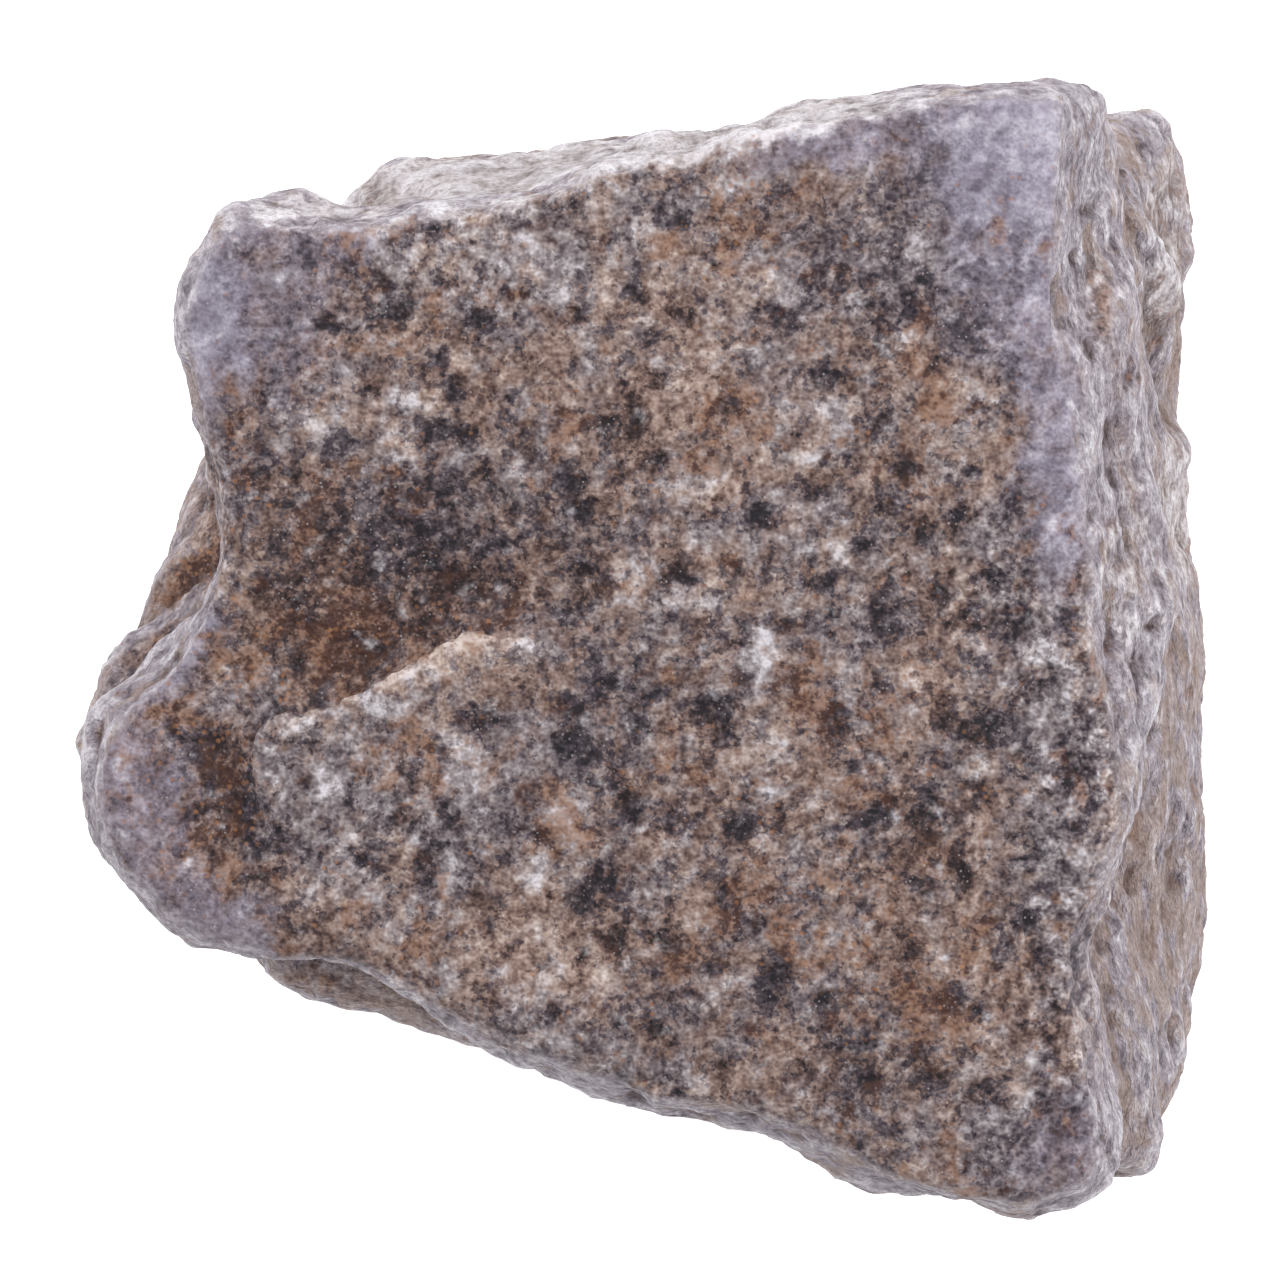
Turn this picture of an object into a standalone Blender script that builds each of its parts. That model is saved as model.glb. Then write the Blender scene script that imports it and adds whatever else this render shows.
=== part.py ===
"""A rough rock: one loose, palm-sized piece of layered stone, lying on its broad back.

The stone split along its layers, so its face and its resting side are broad cleavage faces
and its flanks are broken edges of many thin layers. The form is built from seven closed
outlines, one under the other, from the rim of the face down to the sole that it rests on.
A skin is stretched over them, chipped, weathered, simplified and set on its flat sole.

Sizes are in millimetres unless a name says otherwise. X runs right and Y away when the
stone is seen from above with its face up, and Z is up.
"""

import math

import bmesh
import bpy
from mathutils import Vector, noise

MM = 0.001
NODE_NAME = "rock"

# Driving dimensions.
FACE_HEIGHT = 33.4
FACE_RISE_RIGHT = 0.058
FACE_RISE_AWAY = 0.137
BEARINGS = 300
SKIN_VOXEL = 0.85
CREST_EASING = 0.35
TRIANGLES_WANTED = 8800
SOLE_CUT = 0.55

# Rows of points from one outline to the next, and how far the skin bulges between them.
RIM_TO_RIDGE = (6, 0.25)
RIDGE_TO_PARTING = (5, 0.15)
PARTING_TO_SHOULDER = (7, -0.35)
SHOULDER_TO_FOOT = (10, 0.5)
FOOT_TO_HEEL = (8, 0.6)
HEEL_TO_SOLE = (4, 0.3)
FACE_ROWS = 44
SOLE_ROWS = 20

# Where the flat face turns over into its edges, clockwise from the upper left, as x, y.
FACE_RIM = [
    (-20.2, 19.8), (-15.8, 20.2), (-11.0, 20.8), (-6.5, 21.6), (-2.0, 23.1), (3.0, 24.4), (8.0, 25.1),
    (13.0, 25.7), (18.0, 26.4), (20.3, 26.0), (20.2, 22.5), (20.0, 17.5), (20.6, 14.6), (21.1, 9.4),
    (21.6, 3.6), (22.1, 0.0), (22.8, -3.0), (23.6, -6.0), (23.4, -9.0), (22.5, -12.2), (21.6, -15.4),
    (21.9, -18.5), (22.7, -22.5), (22.9, -25.6), (21.6, -27.2), (18.8, -27.9), (14.6, -27.5), (11.4, -26.1),
    (8.0, -23.6), (2.6, -22.8), (-3.4, -20.8), (-8.6, -18.4), (-12.6, -16.1), (-16.8, -15.2), (-21.5, -14.0),
    (-25.2, -11.6), (-26.6, -8.4), (-26.6, -5.8), (-24.6, -3.2), (-22.6, -0.2), (-21.0, 2.6), (-20.0, 4.8),
    (-19.9, 8.0), (-21.2, 11.6), (-21.9, 15.3), (-21.4, 18.4),
]

# The sharp outer edge of the front slab, clockwise from the upper left, as x, y, z.
FRONT_RIDGE = [
    (-21.9, 20.8, 33.0), (-20.8, 21.8, 33.0), (-17.9, 22.6, 32.5), (-16.6, 22.4, 32.0), (-14.9, 21.4, 32.0),
    (-9.4, 22.1, 32.0), (-7.0, 22.5, 32.5), (-4.7, 23.0, 33.0), (-2.7, 23.7, 33.0), (1.6, 25.1, 33.5),
    (4.9, 25.5, 34.0), (6.5, 25.8, 34.0), (8.1, 26.4, 34.0), (10.1, 26.3, 34.5), (13.3, 26.8, 35.0),
    (17.1, 27.3, 35.5), (19.3, 27.7, 35.5), (21.1, 27.8, 35.0), (22.4, 27.5, 34.5), (23.4, 26.7, 33.5),
    (23.7, 24.4, 32.5), (24.2, 19.4, 31.5), (24.8, 14.4, 30.5), (25.3, 8.5, 29.5), (26.2, 5.8, 29.0),
    (26.7, 2.8, 29.0), (26.4, 0.0, 29.0), (25.8, -3.0, 29.0), (25.0, -5.4, 29.0), (24.7, -8.6, 29.0),
    (23.7, -12.4, 29.5), (22.8, -15.0, 29.5), (22.9, -17.3, 29.0), (23.5, -20.5, 29.0), (24.2, -23.8, 28.5),
    (24.4, -25.8, 28.5), (23.5, -27.7, 28.5), (20.9, -28.9, 28.5), (18.6, -29.2, 28.5), (14.3, -28.9, 28.0),
    (11.9, -28.1, 28.0), (9.0, -26.5, 28.0), (6.6, -24.8, 28.0), (2.5, -24.2, 28.0), (0.0, -23.6, 28.0),
    (-3.9, -22.2, 28.0), (-6.5, -21.5, 28.0), (-9.5, -19.5, 28.0), (-13.1, -17.2, 28.0), (-15.9, -16.4, 28.0),
    (-19.6, -16.2, 28.0), (-22.4, -15.7, 28.0), (-25.7, -14.0, 27.5), (-27.6, -11.8, 27.5), (-28.5, -9.2, 27.5),
    (-29.0, -6.4, 27.5), (-28.5, -5.0, 27.5), (-27.3, -3.3, 28.0), (-25.6, -2.3, 28.0), (-24.4, -0.7, 28.0),
    (-23.1, 1.6, 28.5), (-21.9, 3.1, 28.5), (-21.2, 4.3, 29.0), (-21.0, 7.0, 29.0), (-21.3, 8.5, 29.5),
    (-22.9, 11.8, 30.5), (-23.7, 15.2, 31.5), (-23.5, 17.5, 32.0), (-22.7, 19.4, 32.5),
]

# The open parting behind the front slab: bearing in degrees from +X, how far it lies inside
# the ridge, and its height.
PARTING = [
    (-180, 3.4, 23.5), (-160, 3.0, 23.0), (-140, 2.6, 22.0), (-118, 1.8, 22.5), (-95, 0.8, 24.0), (-70, 0.9, 21.5),
    (-52, 1.4, 25.0), (-40, 0.6, 26.0), (-15, 0.9, 26.5), (8, 1.2, 26.5), (30, 0.9, 27.0), (46, 1.6, 28.0),
    (66, 1.4, 29.0), (92, 0.6, 29.0), (112, 0.2, 28.5), (126, 1.4, 26.0), (142, 2.8, 24.0), (160, 1.6, 24.5),
    (171, 1.4, 25.5),
]

# Where the slab's hidden underside lies over the axis, and how the block below is rooted in it.
SLAB_UNDERSIDE = 25.0
ROOT_SHARE = 0.96
ROOT_RISE = 2.0

# The outer edge of the layers behind the front slab, clockwise from the upper left.
SHOULDER = [
    (-18.0, 20.4, 21.0), (-14.6, 23.2, 22.0), (-13.3, 24.2, 22.0), (-12.3, 24.9, 21.5), (-9.2, 25.1, 21.0),
    (-6.0, 25.3, 21.0), (-2.3, 26.0, 21.0), (1.7, 26.3, 21.0), (8.3, 26.4, 20.0), (16.1, 27.0, 19.0),
    (21.8, 27.7, 19.0), (25.8, 28.0, 19.0), (27.9, 27.7, 18.0), (28.8, 26.2, 18.0), (28.8, 22.2, 17.5),
    (29.0, 19.5, 17.0), (28.4, 15.9, 17.0), (28.5, 12.5, 17.0), (28.9, 10.3, 17.0), (28.2, 7.4, 17.5),
    (28.0, 4.0, 18.0), (28.4, 0.8, 19.0), (28.3, -2.4, 19.5), (27.6, -5.4, 20.0), (26.8, -8.4, 20.5),
    (25.4, -11.2, 21.5), (24.9, -14.6, 22.0), (25.8, -18.0, 22.0), (26.5, -21.5, 21.5), (26.8, -25.2, 21.0),
    (26.6, -27.3, 20.5), (25.9, -28.1, 20.5), (24.6, -27.9, 20.0), (18.8, -27.0, 18.0), (8.4, -24.0, 17.0),
    (-2.1, -21.9, 17.0), (-8.2, -21.4, 17.5), (-12.1, -20.1, 18.0), (-15.2, -19.7, 18.0), (-17.5, -19.0, 18.5),
    (-18.8, -17.4, 19.0), (-22.6, -13.4, 18.5), (-26.4, -10.0, 19.0), (-28.5, -7.0, 20.5), (-29.2, -4.8, 21.0),
    (-28.6, -1.5, 21.0), (-27.2, 1.0, 20.5), (-24.7, 4.8, 20.0), (-22.6, 8.0, 20.0), (-21.0, 11.0, 20.0),
    (-20.6, 15.6, 20.0), (-19.6, 18.6, 20.5),
]

# The outer edge of the lowest thick layer, clockwise from the upper left.
FOOT = [
    (-18.0, 20.0, 9.0), (-11.0, 24.0, 10.0), (-2.0, 25.2, 10.5), (8.0, 25.4, 10.0), (17.0, 26.4, 9.5),
    (24.5, 26.0, 9.0), (27.4, 23.6, 9.0), (28.0, 17.0, 9.5), (28.2, 11.0, 10.0), (28.6, 6.4, 11.0),
    (30.0, 3.2, 11.0), (30.1, -0.6, 10.5), (29.9, -6.0, 10.0), (30.1, -10.2, 10.0), (30.1, -13.2, 10.5),
    (30.0, -17.2, 11.0), (29.2, -20.8, 12.0), (28.2, -24.2, 13.0), (25.2, -26.6, 12.5), (18.0, -26.0, 10.0),
    (8.0, -23.0, 9.0), (-4.0, -20.8, 8.5), (-12.0, -18.8, 9.0), (-17.6, -16.6, 9.5), (-23.0, -12.4, 9.0),
    (-26.6, -8.2, 10.0), (-27.4, -4.0, 10.5), (-25.6, 1.0, 10.0), (-22.8, 5.8, 9.5), (-21.2, 11.6, 9.0),
    (-20.2, 16.4, 9.0),
]

# The edge just above the sole, and the sole itself, clockwise from the upper left.
HEEL = [
    (-16.4, 18.4, 2.6), (-8.0, 22.4, 2.8), (4.0, 23.6, 2.6), (14.0, 24.6, 2.4), (22.4, 24.0, 2.6), (26.0, 19.8, 2.6),
    (27.4, 9.0, 2.4), (28.4, -1.0, 2.4), (28.8, -10.0, 2.6), (27.8, -18.0, 2.8), (24.6, -23.2, 3.0),
    (16.0, -23.8, 2.6), (5.0, -21.0, 2.4), (-7.0, -18.4, 2.4), (-16.0, -14.8, 2.6), (-23.0, -9.0, 2.8),
    (-24.0, -2.0, 2.8), (-20.4, 8.0, 2.6),
]
SOLE = [
    (-13.4, 15.8, 0.0), (-6.0, 19.4, 0.0), (4.0, 21.0, 0.0), (14.0, 21.8, 0.0), (20.6, 20.8, 0.0), (23.6, 17.0, 0.0),
    (25.0, 8.0, 0.0), (26.0, -1.0, 0.0), (26.2, -9.0, 0.0), (25.0, -16.4, 0.0), (21.8, -20.6, 0.0),
    (15.0, -21.0, 0.0), (5.0, -18.4, 0.0), (-6.0, -16.0, 0.0), (-14.6, -12.0, 0.0), (-20.2, -7.0, 0.0),
    (-21.2, -1.0, 0.0), (-17.6, 7.0, 0.0),
]

# The step across the face, where a thin layer broke away above and left of it.
FACE_STEP = [
    (-17.6, -12.2), (-18.6, -10.0), (-18.7, -8.8), (-19.2, -7.6), (-19.5, -6.0), (-19.1, -4.7), (-18.2, -3.7),
    (-16.9, -3.7), (-15.3, -3.3), (-13.9, -2.6), (-12.2, -1.7), (-10.4, -0.6), (-9.3, 0.2), (-8.1, 0.5),
    (-6.9, 0.2), (-5.1, 0.0), (-3.7, -0.8), (-2.0, -1.9),
]
STEP_HEIGHT = 1.15
STEP_WIDTH = 0.45
HOLLOW_REACH = 9.5
LIP_HEIGHT = 0.3
LIP_REACH = 3.5

# Clean breaks across the flanks: the bearing that each faces in degrees from +X, how far it
# leans over towards the table, and how far it stays clear of the outlines above it.
BREAKS = [
    (2, 12, 0.4), (21, 9, 0.5), (40, 17, 0.3), (58, 43, 9.0), (77, 10, 0.4), (97, 21, 0.3), (115, 45, 9.6),
    (129, 14, 0.3), (150, 12, 0.4), (165, 41, 8.6), (177, 17, 0.3), (-160, 10, 0.4), (-145, 39, 8.0),
    (-127, 18, 0.5), (-108, 12, 0.2), (-92, 41, 9.0), (-77, 15, 0.4), (-57, 20, 0.4), (-43, 46, 9.6),
    (-24, 15, 0.3),
]
# The lowest layer shows past the one above it only on the right.
LOW_LAYER_SHOWS_FROM = 24.0

# Grooves and hollows worn into the layers: the two ends of each, half its width, its depth.
GROOVES = [
    ((-20.6, 5.6, 24.0), (-26.6, 1.2, 20.0), 1.6, 1.1),
    ((26.0, 18.8, 21.5), (27.8, 13.6, 19.0), 1.3, 1.0),
    ((26.9, 1.8, 24.0), (27.2, -2.4, 23.0), 1.4, 0.7),
    ((26.2, -9.4, 23.0), (25.2, -12.6, 23.5), 1.5, 1.1),
    ((27.4, -12.4, 20.0), (27.2, -15.6, 20.0), 1.2, 0.8),
]
GROOVE_RUNS_ON = 0.15
GROOVE_BED = 0.2

# Weathering: how far each kind of roughness moves the skin, and how wide its shapes are.
LUMP_HEIGHT, LUMP_WIDTH = 0.55, 11.0
KNOB_HEIGHT, KNOB_WIDTH = 0.42, 4.6
PIT_HEIGHT, PIT_WIDTH = 0.22, 2.3
LAYER_HEIGHT, LAYER_THICKNESS = 0.85, 3.3
LAYER_REACH_WIDTH = 6.0
LAYER_WANDER, LAYER_WANDER_WIDTH = 1.3, 9.0
NOTCH_PLACE, NOTCH_WIDTH, NOTCH_DEPTH = 0.85, 0.16, 0.45
MASSIVE_WIDTH = 10.0
FACE_CALM = 0.5
SOLE_CALM = 0.3

# The way that the layers of the stone face, square to the front face.
LAYERS_FACE = Vector((-FACE_RISE_RIGHT, -FACE_RISE_AWAY, 1.0)).normalized()

STONE_COLOUR = (0.21, 0.165, 0.16, 1.0)
STONE_ROUGHNESS = 0.72


def clear_scene():
    """Remove every object that is already in the scene."""
    for old in list(bpy.data.objects):
        bpy.data.objects.remove(old, do_unlink=True)


def smoothstep(low, high, value):
    """Rise smoothly from 0 at low to 1 at high."""
    share = min(max((value - low) / (high - low), 0.0), 1.0)
    return share * share * (3.0 - 2.0 * share)


def along(first, second, share):
    """Return the value that lies share of the way from first to second."""
    return first + (second - first) * share


def interpolate(stations, bearing):
    """Read a list of (bearing, values...) at one bearing, going round the circle."""
    ahead = [(stations[-1][0] - 360.0, *stations[-1][1:]), *stations, (stations[0][0] + 360.0, *stations[0][1:])]
    for low, high in zip(ahead, ahead[1:]):
        if low[0] <= bearing <= high[0]:
            share = (bearing - low[0]) / (high[0] - low[0])
            return [along(a, b, share) for a, b in zip(low[1:], high[1:])]
    return list(stations[0][1:])


def bearings():
    """Return the evenly spaced bearings of the skin's columns, in degrees."""
    return [-180.0 + 360.0 * column / BEARINGS for column in range(BEARINGS)]


def outline_ring(outline):
    """Read a closed outline at every bearing: each ray from the axis meets it once."""
    steps = 16
    samples = []
    for start, end in zip(outline, outline[1:] + outline[:1]):
        for step in range(steps):
            x, y, z = (along(a, b, step / steps) for a, b in zip(start, end))
            samples.append((math.degrees(math.atan2(y, x)), math.hypot(x, y), z))
    samples.sort()
    ring = []
    for bearing in bearings():
        reach, height = interpolate(samples, bearing)
        turn = math.radians(bearing)
        ring.append(Vector((reach * math.cos(turn), reach * math.sin(turn), height)))
    return ring


def distance_to_step(x, y):
    """Return the signed distance to the step, above zero on its sunken side, and the share along it."""
    best = None
    for index, (start, end) in enumerate(zip(FACE_STEP, FACE_STEP[1:])):
        run_x, run_y = end[0] - start[0], end[1] - start[1]
        length_squared = run_x * run_x + run_y * run_y
        share = ((x - start[0]) * run_x + (y - start[1]) * run_y) / length_squared
        share = min(max(share, 0.0), 1.0)
        gap_x, gap_y = x - start[0] - share * run_x, y - start[1] - share * run_y
        gap = math.hypot(gap_x, gap_y)
        if best is None or gap < best[0]:
            side = 1.0 if run_x * gap_y - run_y * gap_x > 0.0 else -1.0
            best = (gap, side, (index + share) / (len(FACE_STEP) - 1))
    return best[0] * best[1], best[2]


def face_height(x, y):
    """Return the height of the front face over a point of the plan."""
    height = FACE_HEIGHT + FACE_RISE_RIGHT * x + FACE_RISE_AWAY * y
    gap, share = distance_to_step(x, y)
    strength = smoothstep(0.0, 0.12, share) * (1.0 - smoothstep(0.86, 1.0, share))
    if gap > 0.0:
        sunk = smoothstep(0.0, STEP_WIDTH, gap) * (1.0 - smoothstep(0.0, HOLLOW_REACH, gap))
        return height + strength * (LIP_HEIGHT * (1.0 - smoothstep(0.0, STEP_WIDTH, gap)) - STEP_HEIGHT * sunk)
    return height + strength * LIP_HEIGHT * (1.0 - smoothstep(0.0, LIP_REACH, -gap))


def parting_ring(ridge):
    """Return the ring of the parting, drawn in from the ridge by the stations of PARTING."""
    ring = []
    for bearing, edge in zip(bearings(), ridge):
        inset, height = interpolate(PARTING, bearing)
        reach = math.hypot(edge.x, edge.y)
        kept = (reach - inset) / reach
        ring.append(Vector((edge.x * kept, edge.y * kept, height)))
    return ring


def blend_rings(upper, lower, rows, bulge):
    """Return the rows of a flank between two rings: it bulges outward, or inward below zero."""
    blended = []
    for row in range(1, rows + 1):
        share = row / rows
        swell = bulge * math.sin(math.pi * share)
        ring = []
        for high, low in zip(upper, lower):
            point = high.lerp(low, share)
            outward = Vector((point.x, point.y, 0.0)).normalized()
            ring.append(point + outward * swell)
        blended.append(ring)
    return blended


def cap_rings(rim, rows, height_at):
    """Return rings that shrink from a rim towards the axis, each point at its own height."""
    rings = []
    for row in range(1, rows):
        kept = 1.0 - row / rows
        rings.append([Vector((p.x * kept, p.y * kept, height_at(p.x * kept, p.y * kept))) for p in rim])
    return rings


def closed_skin(rows, top_height, bottom_height):
    """Stretch a closed skin over rings, listed from the top down, and return it as a bmesh."""
    skin = bmesh.new()
    grid = [[skin.verts.new(point) for point in row] for row in rows]
    for upper, lower in zip(grid, grid[1:]):
        for column in range(BEARINGS):
            after = (column + 1) % BEARINGS
            skin.faces.new((upper[column], lower[column], lower[after], upper[after]))
    for tip_height, ring, facing_up in ((top_height, grid[0], True), (bottom_height, grid[-1], False)):
        tip = skin.verts.new((0.0, 0.0, tip_height))
        for column in range(BEARINGS):
            near, far = ring[column], ring[(column + 1) % BEARINGS]
            skin.faces.new((tip, near, far) if facing_up else (tip, far, near))
    return skin


def cut_away(solid, point, facing):
    """Take off what lies beyond a plane and close the cut with a flat face."""
    geometry = [*solid.verts, *solid.edges, *solid.faces]
    cut = bmesh.ops.bisect_plane(
        solid, geom=geometry, plane_co=point, plane_no=Vector(facing).normalized(), clear_outer=True, dist=1e-5
    )
    rim_edges = [item for item in cut["geom_cut"] if isinstance(item, bmesh.types.BMEdge)]
    bmesh.ops.holes_fill(solid, edges=rim_edges, sides=0)


def front_slab():
    """Build the skin of the front slab, from its face down to the parting behind it."""
    rim = outline_ring([(x, y, face_height(x, y)) for x, y in FACE_RIM])
    ridge = outline_ring(FRONT_RIDGE)
    rows = [*reversed(cap_rings(rim, FACE_ROWS, face_height)), rim]
    rows += blend_rings(rim, ridge, *RIM_TO_RIDGE)
    rows += blend_rings(ridge, parting_ring(ridge), *RIDGE_TO_PARTING)
    return closed_skin(rows, face_height(0.0, 0.0), SLAB_UNDERSIDE)


def back_block():
    """Build the skin of the thick layers below the parting, broken along its flanks."""
    parting = parting_ring(outline_ring(FRONT_RIDGE))
    shoulder, foot, heel, sole = (outline_ring(outline) for outline in (SHOULDER, FOOT, HEEL, SOLE))
    rows = [[Vector((p.x * ROOT_SHARE, p.y * ROOT_SHARE, p.z + ROOT_RISE)) for p in parting], parting]
    rows += blend_rings(parting, shoulder, *PARTING_TO_SHOULDER)
    rows += blend_rings(shoulder, foot, *SHOULDER_TO_FOOT)
    rows += blend_rings(foot, heel, *FOOT_TO_HEEL)
    rows += blend_rings(heel, sole, *HEEL_TO_SOLE)
    rows += cap_rings(sole, SOLE_ROWS, lambda x, y: 0.0)
    block = closed_skin(rows, SLAB_UNDERSIDE + ROOT_RISE, 0.0)
    spared = [Vector(point) for point in SHOULDER]
    spared += [Vector(point) for point in FOOT if point[0] > LOW_LAYER_SHOWS_FROM]
    for bearing, lean, clearance in BREAKS:
        turn, tilt = math.radians(bearing), math.radians(lean)
        level = math.cos(tilt)
        facing = Vector((level * math.cos(turn), level * math.sin(turn), -math.sin(tilt)))
        reach = max(facing.dot(point) for point in spared) + clearance
        cut_away(block, facing * reach, facing)
    return block


def joined_mesh(skins):
    """Put several skins into one mesh."""
    joined = bmesh.new()
    for skin in skins:
        part_mesh = bpy.data.meshes.new("skin")
        skin.to_mesh(part_mesh)
        skin.free()
        joined.from_mesh(part_mesh)
        bpy.data.meshes.remove(part_mesh)
    mesh = bpy.data.meshes.new("rock skin")
    joined.to_mesh(mesh)
    joined.free()
    return mesh


def modified_mesh(mesh, kind, **settings):
    """Return the mesh as one modifier leaves it."""
    holder = bpy.data.objects.new("holder", mesh)
    bpy.context.scene.collection.objects.link(holder)
    modifier = holder.modifiers.new(kind.lower(), kind)
    for name, value in settings.items():
        setattr(modifier, name, value)
    evaluated = holder.evaluated_get(bpy.context.evaluated_depsgraph_get())
    result = bpy.data.meshes.new_from_object(evaluated)
    bpy.data.objects.remove(holder, do_unlink=True)
    return result


def layer_edges(point):
    """Return how far the broken edges of the layers stand out at a point of the flanks."""
    depth = point.dot(LAYERS_FACE)
    x, y = point.x / LAYER_WANDER_WIDTH, point.y / LAYER_WANDER_WIDTH
    wander = noise.noise(Vector((x, y, depth / 14.0)))
    uneven = noise.noise(Vector((0.3, 0.7, depth / 5.0)))
    count = depth / LAYER_THICKNESS + LAYER_WANDER * wander + 0.9 * uneven
    layer = math.floor(count)
    within = count - layer
    x, y = point.x / LAYER_REACH_WIDTH, point.y / LAYER_REACH_WIDTH
    reach = noise.noise(Vector((x, y, layer * 7.3)))
    reach_above = noise.noise(Vector((x, y, (layer + 1) * 7.3)))
    shape = along(reach, reach_above, smoothstep(0.70, 1.0, within))
    notch = math.exp(-(((within - NOTCH_PLACE) / NOTCH_WIDTH) ** 2))
    layered = smoothstep(-0.25, 0.30, noise.noise(point / MASSIVE_WIDTH + Vector((4.0, 2.0, 8.0))))
    return along(0.25, 1.0, layered) * (1.4 * shape - NOTCH_DEPTH * notch)


def groove_depth(point):
    """Return how deep the grooves and hollows are at a point."""
    deepest = 0.0
    for start, end, half_width, depth in GROOVES:
        start = Vector(start)
        run = Vector(end) - start
        share = (point - start).dot(run) / run.length_squared
        share = min(max(share, -GROOVE_RUNS_ON), 1.0 + GROOVE_RUNS_ON)
        gap = (point - start - run * share).length
        deepest = max(deepest, depth * (1.0 - smoothstep(GROOVE_BED, half_width, gap)))
    return deepest


def weather(mesh):
    """Roughen the skin: broad lumps everywhere, knobs and pits, and layer edges on the flanks."""
    normals = [vertex.normal.copy() for vertex in mesh.vertices]
    for vertex, normal in zip(mesh.vertices, normals):
        point = vertex.co.copy()
        upright = abs(normal.dot(LAYERS_FACE))
        flank = 1.0 - smoothstep(0.45, 0.85, upright)
        sole = along(SOLE_CALM, 1.0, smoothstep(0.2, 2.4, point.z))
        calm = sole * along(FACE_CALM, 1.0, flank)
        rise = calm * LUMP_HEIGHT * noise.noise(point / LUMP_WIDTH)
        rise += calm * KNOB_HEIGHT * noise.noise(point / KNOB_WIDTH + Vector((7.0, 3.0, 1.0)))
        rise += sole * PIT_HEIGHT * noise.noise(point / PIT_WIDTH + Vector((1.0, 9.0, 4.0)))
        rise += flank * LAYER_HEIGHT * layer_edges(point)
        rise -= groove_depth(point)
        vertex.co = point + normal * rise


def set_on_sole(mesh):
    """Cut the lowest bumps off flat, and move the stone so that the cut's plane is z = 0."""
    solid = bmesh.new()
    solid.from_mesh(mesh)
    lowest = min(vertex.co.z for vertex in solid.verts)
    cut_away(solid, (0.0, 0.0, lowest + SOLE_CUT), (0.0, 0.0, -1.0))
    bmesh.ops.triangulate(solid, faces=list(solid.faces))
    low = [min(vertex.co[axis] for vertex in solid.verts) for axis in range(3)]
    high = [max(vertex.co[axis] for vertex in solid.verts) for axis in range(3)]
    middle = Vector(((low[0] + high[0]) / 2.0, (low[1] + high[1]) / 2.0, low[2]))
    for vertex in solid.verts:
        vertex.co = (vertex.co - middle) * MM
    solid.to_mesh(mesh)
    solid.free()
    return middle


def stone_material():
    """Return the stone's plain material."""
    material = bpy.data.materials.new("stone")
    material.use_nodes = True
    shader = material.node_tree.nodes["Principled BSDF"]
    shader.inputs["Base Color"].default_value = STONE_COLOUR
    shader.inputs["Roughness"].default_value = STONE_ROUGHNESS
    shader.inputs["Metallic"].default_value = 0.0
    return material


def build_rock():
    """Build the rock's one solid and return its object."""
    mesh = joined_mesh([front_slab(), back_block()])
    mesh = modified_mesh(mesh, "REMESH", mode="VOXEL", voxel_size=SKIN_VOXEL)
    weather(mesh)
    mesh = modified_mesh(mesh, "SMOOTH", factor=CREST_EASING, iterations=1)
    mesh = modified_mesh(mesh, "TRIANGULATE")
    share = TRIANGLES_WANTED / len(mesh.polygons)
    mesh = modified_mesh(mesh, "DECIMATE", decimate_type="COLLAPSE", ratio=share)
    middle = set_on_sole(mesh)
    print("plan centre moved by", [round(value, 3) for value in middle], "triangles", len(mesh.polygons))
    mesh.materials.clear()
    mesh.materials.append(stone_material())
    rock = bpy.data.objects.new(NODE_NAME, mesh)
    bpy.context.scene.collection.objects.link(rock)
    return rock


clear_scene()
build_rock()
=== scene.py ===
"""The looks of a rough rock: a small, palm-sized piece of layered, iron-stained stone.

The stone lies on its broad back in soft studio light, and the camera looks straight down on its
split face. Lengths are millimetres unless a name says otherwise. "Plan" coordinates have their
zero on the camera's axis, X to the right of the picture, Y to its top and Z up to the camera.
"""

import logging
import math
from dataclasses import dataclass, field
from enum import Enum

import bmesh
import bpy
import numpy as np
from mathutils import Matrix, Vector


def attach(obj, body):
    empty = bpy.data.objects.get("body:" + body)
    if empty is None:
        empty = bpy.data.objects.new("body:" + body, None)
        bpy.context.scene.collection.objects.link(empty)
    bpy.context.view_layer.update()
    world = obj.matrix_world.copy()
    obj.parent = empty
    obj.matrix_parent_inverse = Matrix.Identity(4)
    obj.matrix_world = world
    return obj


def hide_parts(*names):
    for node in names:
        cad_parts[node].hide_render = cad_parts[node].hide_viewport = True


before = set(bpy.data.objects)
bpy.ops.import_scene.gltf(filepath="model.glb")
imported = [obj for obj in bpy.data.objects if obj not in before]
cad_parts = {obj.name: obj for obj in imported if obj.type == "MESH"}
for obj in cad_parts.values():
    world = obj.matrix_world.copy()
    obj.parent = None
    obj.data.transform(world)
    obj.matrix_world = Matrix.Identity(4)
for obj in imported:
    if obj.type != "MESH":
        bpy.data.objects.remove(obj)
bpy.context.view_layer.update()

MM = 0.001
NODE = "rock"
SLOT = "stone"
BODY = "root"
LOG = logging.getLogger("rough rock")

# The camera's axis and the sole's plane, in the part's own frame: plan = part + PLAN_SHIFT.
PLAN_SHIFT = np.array([0.871, -0.727, 0.449])
# The way that the layers of the stone face, square to the split face.
LAYERS_FACE = np.array([-0.058, -0.137, 1.0]) / math.sqrt(0.058**2 + 0.137**2 + 1.0)


@dataclass(frozen=True)
class PhotoView:
    """How the picture was taken: its size in pixels and the camera's place."""

    pixels: int = 1280
    mm_per_pixel: float = 0.05
    sharp_height: float = 30.0
    distance: float = 280.0
    sensor: float = 36.0

    def lens(self) -> float:
        """Return the focal length that frames the picture."""
        return self.sensor * self.distance / (self.pixels * self.mm_per_pixel)

    def plan(self, across: float, down: float, height: float = 34.0) -> tuple[float, float]:
        """Turn a place in the picture into plan coordinates.

        Args:
            across: Pixels from the picture's left edge.
            down: Pixels from its top edge.
            height: How high the place lies above the sole.

        Returns:
            The place's X and Y.
        """
        size = self.mm_per_pixel * (self.distance - height + self.sharp_height) / self.distance
        middle = self.pixels / 2.0
        return (across - middle) * size, (middle - down) * size


VIEW = PhotoView()


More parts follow.
